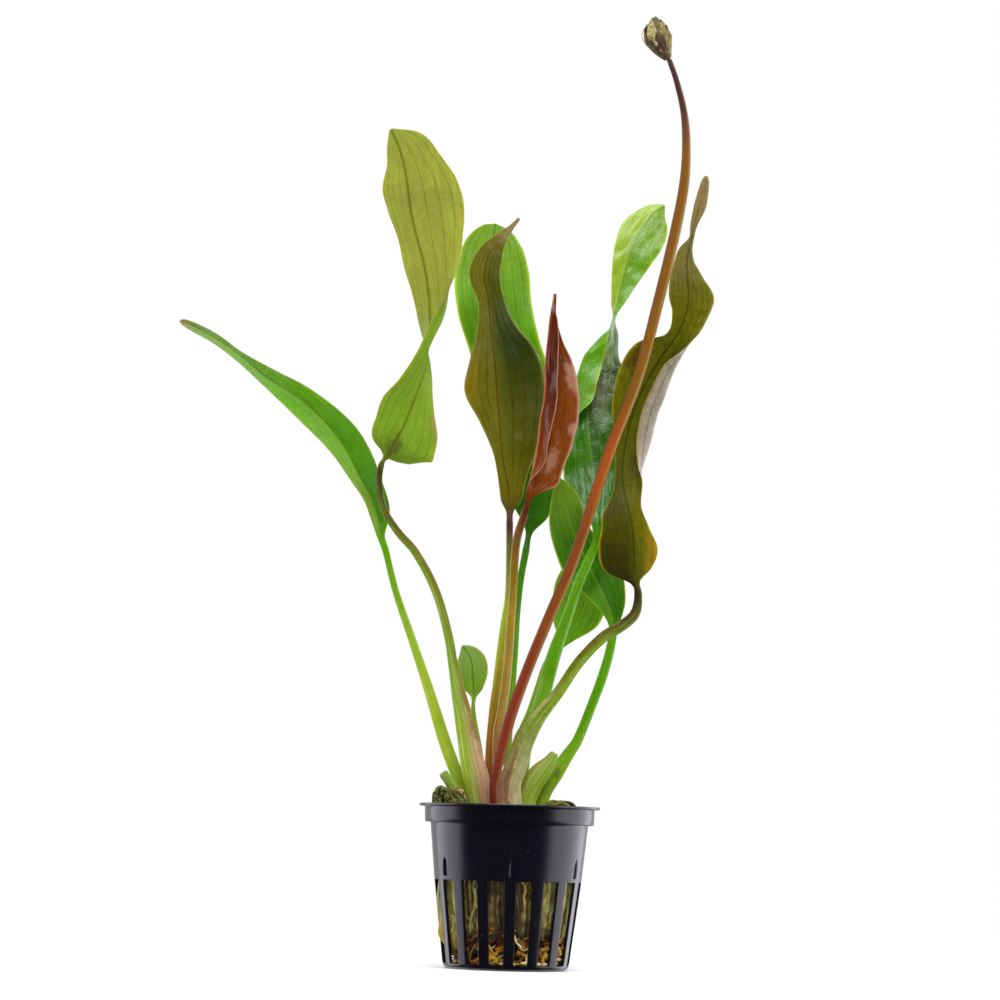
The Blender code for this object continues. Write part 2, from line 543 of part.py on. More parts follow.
def make_stalks():
    rows = smooth_rows(FLOWER_STALK, [STEM_SPACING] * len(FLOWER_STALK))
    for row in rows:
        row[3] /= 2
    add_piece("flower_stalk", lofted(tube_rings(rows, STALK_SIDES)), "stalk")
    for name, line in CUT_STEMS.items():
        rows = smooth_rows(line, [STEM_SPACING] * len(line))
        for row in rows:
            row[3] /= 2
        rings = tube_rings(rows, STALK_SIDES, CUT_STEM_FLATNESS[name])
        add_piece(name, lofted(rings), "green_leaf")
    rings = tube_rings(BUD_LINE, BUD_SIDES, 1.0, BUD_LOBES, BUD_LOBE_DEPTH)
    add_piece("flower_bud", lofted(rings), "bud")


def make_tuft(name, tuft):
    """A lumpy clump that lies on the wool along the pot's rim."""
    steps = 6
    rings = []
    for step in range(steps + 1):
        share = step / steps
        angle = math.radians(tuft["from"] + share * (tuft["to"] - tuft["from"]))
        swell = max(math.sin(math.pi * share) ** 0.6, 0.25)
        outward = Vector((math.cos(angle), math.sin(angle), 0))
        height = (tuft["top"] - tuft["foot"]) * swell * (1 + 0.12 * math.cos(9 * share))
        half = tuft["half"] * swell
        ring = [(-1, 0), (-0.9, 0.6), (0, 1), (0.9, 0.7), (1, 0)]
        rings.append([outward * (tuft["ring"] + across * half)
                      + Vector((0, 0, tuft["foot"] + up * height)) for across, up in ring])
    add_piece(name, lofted(rings), "moss")


clear_scene()
make_pot()
make_wool()
make_crown()
make_root_mat()
for leaf_name, leaf_data in LEAVES.items():
    make_leaf(leaf_name, leaf_data)
make_stalks()
for tuft_name, tuft_data in TUFTS.items():
    make_tuft(tuft_name, tuft_data)
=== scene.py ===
# %% [markdown]
# A sword plant in a net pot.
# The plant stands in a small black basket filled with mineral wool, and sends up long
# stemmed leaves and one flower stalk. This script keeps the measured solids as a fixed
# frame, and builds a finer piece in the place of each: curved blades with veins, a
# slotted pot with rounded edges, and fibres in the slots.

# %% Load the frame
import math
import random

import bmesh
import bpy
from mathutils import Matrix, Vector, noise


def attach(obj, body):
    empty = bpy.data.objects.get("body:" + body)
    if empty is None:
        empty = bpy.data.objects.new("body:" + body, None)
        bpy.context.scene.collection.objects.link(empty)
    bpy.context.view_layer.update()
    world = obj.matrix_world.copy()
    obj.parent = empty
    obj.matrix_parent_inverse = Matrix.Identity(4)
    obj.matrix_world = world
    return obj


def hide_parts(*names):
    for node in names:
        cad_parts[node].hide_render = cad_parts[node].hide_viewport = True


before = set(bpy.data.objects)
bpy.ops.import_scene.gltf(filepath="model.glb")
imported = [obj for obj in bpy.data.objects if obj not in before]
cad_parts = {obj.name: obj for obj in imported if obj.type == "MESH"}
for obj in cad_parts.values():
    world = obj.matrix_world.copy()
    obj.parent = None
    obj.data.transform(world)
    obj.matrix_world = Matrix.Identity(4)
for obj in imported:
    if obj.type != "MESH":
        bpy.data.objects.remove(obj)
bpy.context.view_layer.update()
MM = 0.001
print("frame has", len(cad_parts), "nodes")

# %% [markdown]
# The camera comes first, because every later choice is judged through it. A long lens
# a metre away looks up a little, and leans a little, as the photographer's did.

# %% Camera
CAMERA_PLACE = Vector((-5.6, -1000, 36)) * MM
LOOK_UP = math.radians(6.1)
LEAN = math.radians(1.6)
SENSOR_WIDTH = 36.0
FOCAL_WIDTHS = 3.27


def add_object(name, data):
    item = bpy.data.objects.new(name, data)
    bpy.context.collection.objects.link(item)
    return item


def add_camera():
    lens = bpy.data.cameras.new("camera")
    lens.sensor_width = SENSOR_WIDTH
    lens.lens = SENSOR_WIDTH * FOCAL_WIDTHS
    lens.clip_start = 0.05
    camera = add_object("camera", lens)
    upright = Matrix.Rotation(math.radians(90) + LOOK_UP, 4, "X")
    camera.matrix_world = Matrix.Translation(CAMERA_PLACE) @ upright @ Matrix.Rotation(LEAN, 4, "Z")
    bpy.context.scene.camera = camera


add_camera()
print("camera looks up", round(math.degrees(LOOK_UP), 1), "degrees")

# %% [markdown]
# The plant has few pigments, so every finish mixes the same short list of them, in round
# numbers. They are written as they look on screen, from 0 to 255.

# %% Pigments
PIGMENTS = {
    "deep green": (30, 60, 0), "green": (60, 130, 0), "fresh green": (100, 170, 0),
    "light green": (130, 170, 40), "lime": (170, 200, 50), "frosted green": (140, 170, 90),
    "moss green": (170, 180, 70), "dark olive": (60, 60, 0), "olive": (110, 110, 10),
    "gold": (160, 130, 20), "copper": (170, 80, 10), "tan": (160, 140, 90),
    "cream": (220, 210, 160), "rust": (140, 70, 10), "maroon": (90, 30, 10),
    "red": (140, 50, 20), "blush": (220, 170, 140), "purple brown": (80, 40, 40),
    "silver": (170, 160, 140), "soil": (40, 30, 10), "straw": (190, 160, 80),
    "ochre": (140, 90, 10), "khaki": (150, 150, 80), "umber": (80, 60, 20),
    "black": (10, 10, 20),
}


def pigment(name):
    """The pigment in the linear values of a shader."""
    linear = []
    for level in PIGMENTS[name]:
        share = level / 255
        linear.append(share / 12.92 if share < 0.04045 else ((share + 0.055) / 1.055) ** 2.4)
    return (*linear, 1.0)


def even_stops(names, start=0.0, end=1.0):
    """The named pigments, evenly spaced from start to end."""
    gap = (end - start) / max(len(names) - 1, 1)
    return [(start + gap * index, pigment(name)) for index, name in enumerate(names)]


print(len(PIGMENTS), "pigments")

# %% [markdown]
# Every finish is written as arithmetic. A Signal wraps one output of a shader node, so
# that adding or multiplying two of them adds the Math node in between. A Finish is one
# material, or the world, and its node method makes every other kind of node.

# %% Shader arithmetic


def both_ways(operation):
    """The two methods of an operator: with the signal first, and with it second."""
    return (lambda self, other: self.combined(operation, self, other),
            lambda self, other: self.combined(operation, other, self))


class Signal:
    """An output socket that takes part in arithmetic."""

    def __init__(self, finish, socket):
        self.finish = finish
        self.socket = socket

    def combined(self, operation, *values):
        return self.finish.node("ShaderNodeMath", {"operation": operation}, dict(enumerate(values)))

    __add__, __radd__ = both_ways("ADD")
    __sub__, __rsub__ = both_ways("SUBTRACT")
    __mul__, __rmul__ = both_ways("MULTIPLY")
    __truediv__, __rtruediv__ = both_ways("DIVIDE")

    def __abs__(self):
        return self.combined("ABSOLUTE", self)


class Finish:
    """A material or world, built node by node in front of the shader that it comes with."""

    def __init__(self, name, kind=bpy.data.materials, shader="Principled BSDF"):
        self.owner = kind.new(name)
        self.owner.use_nodes = True
        self.tree = self.owner.node_tree
        self.shader = self.tree.nodes[shader]

    def node(self, kind, settings, inputs, output=0):
        node = self.tree.nodes.new(kind)
        for key, value in settings.items():
            if key == "stops":
                self.set_stops(node.color_ramp, value)
            else:
                setattr(node, key, value)
        for key, value in inputs.items():
            if isinstance(value, Signal):
                self.tree.links.new(value.socket, node.inputs[key])
            else:
                node.inputs[key].default_value = value
        return Signal(self, node.outputs[output])

    def set_stops(self, ramp, stops):
        while len(ramp.elements) < len(stops):
            ramp.elements.new(1.0)
        for element, (position, colour) in zip(ramp.elements, stops):
            element.position = position
            element.color = colour

    def attribute(self, name):
        return self.node("ShaderNodeAttribute", {"attribute_name": name}, {}, "Fac")

    def place(self):
        return self.node("ShaderNodeTexCoord", {}, {}, "Object")

    def vector(self, x, y, z):
        return self.node("ShaderNodeCombineXYZ", {}, {0: x, 1: y, 2: z})

    def noise(self, scale, detail, where=None):
        inputs = {"Vector": where or self.place(), "Scale": scale, "Detail": detail}
        return self.node("ShaderNodeTexNoise", {}, inputs)

    def step(self, value, low, high):
        """0 below low, 1 above high and smooth between."""
        inputs = {"Value": value, "From Min": low, "From Max": high}
        return self.node("ShaderNodeMapRange", {"interpolation_type": "SMOOTHSTEP"}, inputs)

    def line(self, value, width):
        """1 where the value is 0, falling to 0 at the width."""
        return 1.0 - self.step(abs(value), 0.0, width)

    def ramp(self, value, stops):
        return self.node("ShaderNodeValToRGB", {"stops": stops}, {0: value})

    def mix(self, first, second, share, blend="MIX"):
        settings = {"data_type": "RGBA", "blend_type": blend}
        return self.node("ShaderNodeMix", settings, {0: share, 6: first, 7: second}, 2)

    def stretched_noise(self, x, y, z):
        """Noise over a space of its own, in which a slow signal draws it out."""
        return self.noise(1.0, 3.0, self.vector(x, y, z))

    def tinted(self, colour, name, share):
        """The colour with a share of a pigment over it."""
        return self.mix(colour, pigment(name), share)

    def shaded(self, colour, tone):
        """The colour times a tone between 0 and 1."""
        return self.mix(colour, tone, 1.0, "MULTIPLY")

    def bump(self, height, distance, strength=1.0):
        inputs = {"Height": height, "Distance": distance, "Strength": strength}
        return self.node("ShaderNodeBump", {}, inputs)

    def connect(self, **inputs):
        """Feed the shader's own sockets; an underscore in a name stands for a space."""
        for key, value in inputs.items():
            socket = self.shader.inputs[key.replace("_", " ")]
            if isinstance(value, Signal):
                self.tree.links.new(value.socket, socket)
            else:
                socket.default_value = value
        return self.owner


print("shader arithmetic ready")

# %% [markdown]
# A big soft light on each side, a little behind the plant, gives a dark round pot its
# two pale bands. The world is white behind and above the plant, and dim in front of it
# and below, as a white sweep in front of a dark room would be.

# %% Light, floor and view
FLOOR_SIZE = 1.2
FLOOR_COLOUR = (0.86, 0.86, 0.86, 1)
WHITE = (1, 1, 1)
LILAC = (0.92, 0.9, 1.0)
DIM = 0.024
# axis, where the sweep begins and ends to brighten, and its strength from there on
SWEEP = (("Y", 0.1, 0.7, 0.72), ("Z", 0.2, 0.65, 0.92))


def area_light(name, place, target, size, power, tint):
    lamp = bpy.data.lights.new(name, "AREA")
    lamp.color = tint
    lamp.shape = "RECTANGLE"
    lamp.size, lamp.size_y = size
    lamp.energy = power
    aim = (Vector(target) - Vector(place)).to_track_quat("-Z", "Y")
    add_object(name, lamp).matrix_world = Matrix.Translation(place) @ aim.to_matrix().to_4x4()


def add_world():
    """White to the camera; to everything else it brightens from DIM along each axis of the sweep."""
    sky = Finish("studio", bpy.data.worlds, "Background")
    direction = sky.node("ShaderNodeTexCoord", {}, {}, "Generated")
    levels = []
    for axis, low, high, most in SWEEP:
        along = sky.node("ShaderNodeSeparateXYZ", {}, {0: direction}, axis)
        levels.append(sky.node("ShaderNodeMapRange", {}, {"Value": along, "From Min": low, "From Max": high,
                                                          "To Min": DIM, "To Max": most}))
    room = levels[0].combined("MAXIMUM", *levels)
    seen = sky.node("ShaderNodeLightPath", {}, {}, "Is Camera Ray")
    bpy.context.scene.world = sky.connect(Color=(*WHITE, 1), Strength=room + (1.0 - room) * seen)


def mesh_from(name, shape):
    mesh = bpy.data.meshes.new(name)
    shape.to_mesh(mesh)
    shape.free()
    return mesh


def add_floor():
    shape = bmesh.new()
    bmesh.ops.create_grid(shape, x_segments=1, y_segments=1, size=FLOOR_SIZE / 2)
    floor = add_object("floor", mesh_from("floor", shape))
    floor.data.materials.append(Finish("pale floor").connect(Base_Color=FLOOR_COLOUR, Roughness=0.9))
    floor.visible_glossy = False


add_world()
add_floor()
area_light("left softbox", (-0.88, 0.25, 0.12), (0, 0, 0.12), (1.0, 1.1), 9, LILAC)
area_light("right softbox", (0.77, 0.2, 0.12), (0, 0, 0.12), (1.4, 1.1), 13, LILAC)
area_light("top softbox", (0, -0.6, 1.0), (0, 0, 0.14), (0.9, 0.5), 10, WHITE)
bpy.context.scene.view_settings.view_transform = "Standard"
print("three softboxes and a white sweep")

# %% [markdown]
# Most of the plant is long and thin: a leaf, a stalk and a root are each a skin round a
# row of rings. One way to make such a skin is to roll up a flat grid. Each column of
# the grid runs the length of the piece, each row becomes one ring, and the first and
# last columns are merged where they meet.

# %% Rolling a grid into a skin
NOTES = ("across", "level", "reach", "run", "face", "tone")
SHARP_ANGLE = math.radians(50)


def new_shape():
    """An empty bmesh with a layer for each of the notes."""
    shape = bmesh.new()
    for name in NOTES:
        shape.verts.layers.float.new(name)
    return shape


def rolled_skin(shape, rings):
    """Roll a grid round the rings. Each ring point is a place and the notes kept for shading."""
    around = len(rings[0])
    grid = bmesh.ops.create_grid(shape, x_segments=around, y_segments=len(rings) - 1, size=1)["verts"]
    layers = [shape.verts.layers.float[name] for name in NOTES]
    for index, vert in enumerate(grid):
        row, column = divmod(index, around + 1)
        place, notes = rings[row][column % around]
        vert.co = place
        for layer, name in zip(layers, NOTES):
            vert[layer] = notes.get(name, 0.0)


def skin_from(rings):
    shape = new_shape()
    rolled_skin(shape, rings)
    return shape


def closed_skins(shape):
    """Merge every seam and pointed end, and fill the flat ends."""
    bmesh.ops.remove_doubles(shape, verts=shape.verts, dist=1e-5)
    open_edges = [edge for edge in shape.edges if edge.is_boundary]
    bmesh.ops.holes_fill(shape, edges=open_edges)


def turned_rings(rows, columns, point):
    """Rings of points, each made from a share of the height, 0 to 1, and an angle in degrees."""
    return [[point(row / (rows - 1), 360 * column / columns) for column in range(columns)]
            for row in range(rows)]


def finished_piece(name, shape, material, node):
    """Turn a bmesh in millimetres into a smooth object that rides with the pot."""
    closed_skins(shape)
    bmesh.ops.recalc_face_normals(shape, faces=shape.faces)
    bmesh.ops.scale(shape, vec=(MM, MM, MM), verts=shape.verts)
    volume = shape.calc_volume(signed=True) / MM**3
    mesh = mesh_from(name, shape)
    mesh.shade_smooth()
    mesh.set_sharp_from_angle(angle=SHARP_ANGLE)
    mesh.materials.append(material)
    piece = add_object(name, mesh)
    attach(piece, "root")
    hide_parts(node)
    print(name, "has", len(mesh.polygons), "faces round", round(volume), "cubic mm")


def smooth_rows(stations, spacing):
    """Rows on a smooth curve through the stations, about a spacing apart."""
    along = [0.0]
    for start, end in zip(stations, stations[1:]):
        along.append(along[-1] + max(math.dist(start[:3], end[:3]), 0.1))
    last = len(stations) - 1

    def slope(index, value):
        low, high = max(index - 1, 0), min(index + 1, last)
        return (stations[high][value] - stations[low][value]) / (along[high] - along[low])

    rows = []
    for index in range(last):
        length = along[index + 1] - along[index]
        steps = max(1, round(length / spacing))
        for step in range(steps):
            t = step / steps
            weights = (2 * t**3 - 3 * t**2 + 1, t**3 - 2 * t**2 + t, 3 * t**2 - 2 * t**3, t**3 - t**2)
            rows.append([weights[0] * stations[index][value]
                         + weights[1] * length * slope(index, value)
                         + weights[2] * stations[index + 1][value]
                         + weights[3] * length * slope(index + 1, value)
                         for value in range(len(stations[0]))])
    rows.append(list(stations[last]))
    return rows


def frames(rows):
    """Centre, sideways and frontal directions for each row; sideways lies in the front view."""
    centres = [Vector(row[:3]) for row in rows]
    result = []
    for index, centre in enumerate(centres):
        tangent = centres[min(index + 1, len(rows) - 1)] - centres[max(index - 1, 0)]
        tangent.normalize()
        side = Vector((0, 1, 0)).cross(tangent).normalized()
        result.append((centre, side, side.cross(tangent)))
    return result


print("skins are rolled from grids")

# %% [markdown]
# A sword plant's blade has a thick midrib and two or three pairs of veins that bow out
# with the margins, and the skin between them is slightly puckered. The grid is moved
# into those shapes directly, so the light catches real hollows. Leaf rows come first:
# each holds the widths, turn, curls and thickness of the leaf at one height.

# %% Leaf rows
ROW_SPACING = 1.1
HALF_COLUMNS = 18
BEND = (0.4, 0.8)
STEM_FLATNESS = 0.42
STEM_DEPTH_MOST = 1.15
RIB_AT_TIP = 0.35
TIP_FOLD = 0.3
TIP = 0.5
BLADE_DEPTH = 0.24
VEINS = (0.3, 0.56, 0.8)
VEIN_GROOVE = 0.05
VEIN_WIDTH = 0.05
WAVE_RUN = 5.2
EDGE_ROUNDING = 10


def blend(low, high, value):
    """A smooth step from 0 at low to 1 at high."""
    share = min(max((value - low) / (high - low), 0.0), 1.0)
    return share * share * (3 - 2 * share)


def half_section(outward, front, width, lean, curl, columns, bend_range):
    """Offset and outward normal at each column across one half of a blade, from the midrib."""
    offset = Vector((0, 0, 0))
    result = []
    before = 0.0
    for share in columns:
        angle = math.radians(lean + curl * blend(*bend_range, share))
        offset = offset + (outward * math.cos(angle) + front * math.sin(angle)) * width * (share - before)
        before = share
        result.append((offset, front * math.cos(angle) - outward * math.sin(angle)))
    return result


def leaf_stations(leaf):
    """Stem and blade as one list, with every value that a row of the skin needs."""
    stations = []
    for x, y, z, width in leaf["stem"]:
        depth = min(width * STEM_FLATNESS, STEM_DEPTH_MOST)
        stations.append((x, y, z, width / 2, width / 2, 0, 0, 0, 0, width / 2, depth, 0))
    root = stations[-1][9]
    count = len(leaf["blade"])
    plain = [0] * count
    curls = leaf.get("left_curls", plain), leaf.get("right_curls", plain)
    for index, (x, y, z, left, right) in enumerate(leaf["blade"]):
        rib = root + (RIB_AT_TIP - root) * index / (count - 1)
        fold = TIP_FOLD if index == count - 1 else min(index / 2, 1)
        stations.append((x, y, z, left, right, leaf.get("turns", plain)[index], curls[0][index],
                         curls[1][index], fold, rib, min(rib, STEM_DEPTH_MOST) * 0.8, 1))
    return stations


def leaf_levels(rows, leaf):
    """How far each row is up the stem, -1 to 0, or up the blade, 0 to 1, and its run in mm."""
    runs = [0.0]
    for before, after in zip(rows, rows[1:]):
        runs.append(runs[-1] + math.dist(before[:3], after[:3]))
    first = Vector(leaf["blade"][0][:3])
    base = min(range(len(rows)), key=lambda index: (Vector(rows[index][:3]) - first).length)
    levels = []
    for index, run in enumerate(runs):
        distance = run - runs[base]
        whole = runs[base] if index <= base else runs[-1] - runs[base]
        levels.append((distance / whole, distance))
    return levels


print("leaf rows stand", ROW_SPACING, "mm apart")

# %% [markdown]
# Each row then becomes one ring. Its two halves start at the midrib and may lean, curl,
# pucker and wave, each in its own way, and its skin is thickest at the midrib.

# %% Leaf rings


def leaf_rings(leaf):
    """Every ring of a leaf: across its face from the left margin, and back across its underside."""
    rows = smooth_rows(leaf_stations(leaf), ROW_SPACING)
    seed = leaf["seed"]
    rings = []
    for (centre, side, front), row, (level, run) in zip(frames(rows), rows, leaf_levels(rows, leaf)):
        left, right, turn, left_curl, right_curl, fold, rib_width, rib_depth, bladed = row[3:]
        bladed = min(max(bladed, 0), 1)
        shares = [step / HALF_COLUMNS for step in range(HALF_COLUMNS + 1)]
        columns = [share * bladed + math.sin(share * math.pi / 2) * (1 - bladed) for share in shares]
        wave = leaf["wave"] * math.sin(run / WAVE_RUN + seed)
        wave *= blend(0.02, 0.2, level) * blend(0, 0.1, 1 - level)
        halves = []
        for sign, width, curl, cup in ((-1, left, left_curl, leaf["cups"][0]),
                                       (1, right, right_curl, leaf["cups"][1])):
            width = max(width, TIP)
            section = half_section(side * sign, front, width, cup * fold + turn * sign, curl, columns,
                                   leaf.get("bend", BEND))
            halves.append((sign, width, section))
        middle = sum((section[0][1] for _, _, section in halves), Vector()).normalized()
        face, underside = [], []
        for sign, width, section in halves:
            for share, (offset, normal) in zip(columns, section):
                if share == 0:
                    if sign > 0:
                        continue
                    normal = middle
                reach = share * width
                rib = rib_depth * math.sqrt(max(0, 1 - (reach / max(rib_width, 0.2)) ** 2))
                round_off = math.sqrt(max(0.0, 1 - share**EDGE_ROUNDING))
                plate = BLADE_DEPTH * bladed * (1 - 0.5 * share) * round_off
                broad = bladed * blend(0.5, 6, width)
                groove = sum(math.exp(-((share - place) / VEIN_WIDTH) ** 2) for place in VEINS)
                spot = Vector((sign * reach * 0.3, run * 0.22, seed * 7.0))
                pucker = noise.noise(spot) + 0.45 * noise.noise(spot * 2.3)
                shift = broad * (leaf["pucker"] * pucker * min(1, share * 5) - VEIN_GROOVE * groove)
                shift += broad * width * math.tan(math.radians(wave)) * share**2 * sign * 0.5
                up = max(plate, rib * (1 - 0.7 * bladed))
                down = max(plate, rib)
                if share >= 1:
                    up = down = 0.0
                notes = {"across": sign * share, "level": level, "reach": sign * reach, "run": run}
                place = centre + offset + normal * shift
                face.append((place + normal * up, {**notes, "face": 1.0 if share < 1 else 0.5}))
                underside.append((place - normal * down, notes))
            if sign < 0:
                face.reverse()
                underside.reverse()
        rings.append(face + underside[-2:0:-1])
    return rings


print("a ring has", 4 * HALF_COLUMNS, "places")

# %% [markdown]
# A leaf's look names the pigments that follow one another, evenly spaced, up its stem and
# up each half of its two faces. What a look leaves out is as usual: a right side is like
# the left one, and an underside like the upper one.

# %% Leaf look
LOOK = {
    # pigment and share of the streaks and threads of a stem
    "streak": ("cream", 0.25), "thread": ("olive", 0.2),
    # where the left half's colour gives way to the right half's
    "join": (-0.04, 0.04),
    "rib_width": 0.55, "rib_share": 0.8, "vein_share": 0.35, "margin_share": 0.5, "mottle": 0.16,
    "gloss": 0.36, "scatter": 0.35, "shine": 0.1, "blots": (),
}


def full_look(look):
    """The look, with the usual values for all that it leaves out."""
    right = look.get("right", look["left"])
    sides = {"stem_right": look["stem"], "right": right, "under_left": look["left"], "under_right": right}
    return {**LOOK, **sides, **look}


print("a look has", len(LOOK), "usual values")

# %% [markdown]
# Over the colours of a look lie the veins, a net of finer veins, streaks and threads
# along the stem, soft blots and a thin margin. Most blots are the leaf's own stains and
# patches, but some are painted highlights and a painted reflection. Light passes through a
# leaf, so a share of its light scatters inside it.

# %% Leaf finish
INNER_SCATTER = 0.0007
NET_SHARE = 0.12


def leaf_finish(name, look):
    finish = Finish(name)
    across, level, reach, run, face = map(finish.attribute, NOTES[:5])

    def side_colour(stem, blade):
        stops = even_stops(look[stem], 0.1, 0.48) + even_stops(look[blade], 0.53, 1.0)
        return finish.ramp(level * 0.5 + 0.5, stops)

    bladed = finish.step(level, 0.0, 0.06)
    is_right = (finish.step(across, *look["join"]) * bladed
                + finish.step(across, -0.5, 0.5) * (1.0 - bladed))
    upper = finish.mix(side_colour("stem", "left"), side_colour("stem_right", "right"), is_right)
    under = finish.mix(side_colour("stem", "under_left"), side_colour("stem_right", "under_right"),
                       is_right)
    colour = finish.mix(under, upper, face)

    def add(name, share):
        nonlocal colour
        colour = finish.tinted(colour, name, share)

    depth_in_half = abs(across)
    ribs = [finish.line(depth_in_half - share, 0.03) for share in VEINS]
    vein = (ribs[0] + ribs[1] + ribs[2]) * bladed
    net_place = finish.vector(reach * 0.6, run * 0.36 - abs(reach) * 0.22, face)
    net = finish.node("ShaderNodeTexVoronoi", {"feature": "DISTANCE_TO_EDGE"},
                      {"Vector": net_place, "Scale": 1.0}, "Distance")
    net_line = finish.line(net, 0.09) * bladed
    add(look["vein"], vein * look["vein_share"])
    add(look["vein"], net_line * NET_SHARE)
    add(look["rib"], finish.line(reach, look["rib_width"]) * bladed * look["rib_share"])

    on_stem = 1.0 - finish.step(level, -0.12, 0.0)
    at_foot = 1.0 - finish.step(level, -0.8, -0.3)
    streak_place = across * 7 * on_stem + reach * 0.9 * (1.0 - on_stem)
    streaks = finish.stretched_noise(streak_place, run * 0.05, face * 5)
    threads = finish.stretched_noise(across * 16, run * 0.03, face * 5 + 9)
    streak_colour, streak_share = look["streak"]
    thread_colour, thread_share = look["thread"]
    add(streak_colour, finish.step(streaks, 0.5, 0.66) * (at_foot * 0.7 + on_stem * 0.3) * streak_share)
    add(thread_colour, finish.step(threads, 0.56, 0.66) * on_stem * thread_share)
    cloud = finish.noise(150.0, 3.0)
    patches = finish.noise(500.0, 3.0)
    for blot_across, blot_level, wide, long, blot_colour, share in look["blots"]:
        offset = finish.vector((across - blot_across) / wide, (level - blot_level) / long, 0.0)
        far = finish.node("ShaderNodeVectorMath", {"operation": "LENGTH"}, {0: offset}, "Value")
        outside = finish.step(far + (cloud - 0.5) * 0.8 + (patches - 0.5) * 1.4, 0.3, 1.0)
        add(blot_colour, (1.0 - outside) * share)
    add(look["margin"], finish.step(depth_in_half, 0.9, 0.985) * bladed * look["margin_share"])
    speckle = finish.noise(900.0, 2.0)
    tone = (0.46 + cloud * 0.26 + streaks * 0.26 + (patches - 0.5) * look["mottle"]
            + speckle * 0.06)

    half_width = abs(reach) / (depth_in_half + 0.001)
    relief = finish.step(half_width, 2.0, 8.0)
    height = (net_line * -0.15 - vein * 0.3) * relief + streaks * 0.5 + speckle * 0.1
    rough = look["gloss"] + (cloud - 0.5) * 0.16 + (speckle - 0.5) * 0.1
    return finish.connect(Base_Color=finish.shaded(colour, tone), Roughness=rough,
                          Normal=finish.bump(height, 0.0002), Subsurface_Weight=look["scatter"],
                          Subsurface_Radius=(1.0, 1.0, 0.6), Subsurface_Scale=INNER_SCATTER,
                          Specular_IOR_Level=look["shine"])


def add_leaf(name, leaf):
    finish = leaf_finish(name + " finish", full_look(leaf["look"]))
    finished_piece(name + "_skin", skin_from(leaf_rings(leaf)), finish, name)


print("each half of a blade has", len(VEINS), "veins")

# %% [markdown]
# The leaves are described one at a time, by stations and a look. A stem station is x, y,
# z and width in millimetres, and a blade station is x, y, z and the widths of its left
# and right halves. Cups are how far the halves lean forward, turns twist the blade about
# its midrib, and curls roll a margin over, all in degrees. The far left leaf is the
# plainest: bright green, paler on its lower half, reaching out to a small dry tip.

# %% Far left leaf
add_leaf("leaf_far_left", {
    "slot": "green_leaf", "cups": (25, 32), "wave": 5, "pucker": 0.12, "seed": 0,
    "stem": [(-7.4, 2.2, 31, 3.4), (-14.5, 1.5, 53.5, 3.8), (-20.1, 1.5, 67.5, 3.8),
             (-25.6, 2, 83.5, 3.1), (-30.7, 2, 97.5, 2.5), (-37, 2.5, 114.5, 2.1),
             (-40.5, 3, 127, 2.1)],
    "blade": [(-42, 3, 131, 1.2, 1.3), (-43.5, 5, 137, 2, 4.5), (-45.5, 7, 143, 2.6, 6),
              (-49.5, 10, 150, 3.4, 7.5), (-56.5, 14, 162, 5.2, 7.6), (-67.5, 19, 173.5, 5.8, 5.3),
              (-80, 24, 182, 3, 3.8), (-89.5, 27, 189.5, 2.2, 1.6), (-97.5, 29, 195, 1.9, 1.8),
              (-104.5, 31, 198.8, 1.8, 1.6), (-108, 31.8, 200.4, 1.2, 1.2),
              (-109.2, 32, 200.9, TIP, TIP)],
    "look": {
        "stem": ("lime", "lime", "fresh green"), "left": ("light green", "fresh green", "frosted green"),
        "right": ("green", "fresh green", "frosted green"),
        "rib": "light green", "vein": "frosted green", "margin": "tan", "margin_share": 0.3,
        "vein_share": 0.25, "blots": [(0.0, 1.0, 3, 0.05, "tan", 0.7)],
    },
})

# %% [markdown]
# The upper left leaf turns over half way up, so its lower blade shows the upper face
# and its broad top shows the duller, yellower underside.

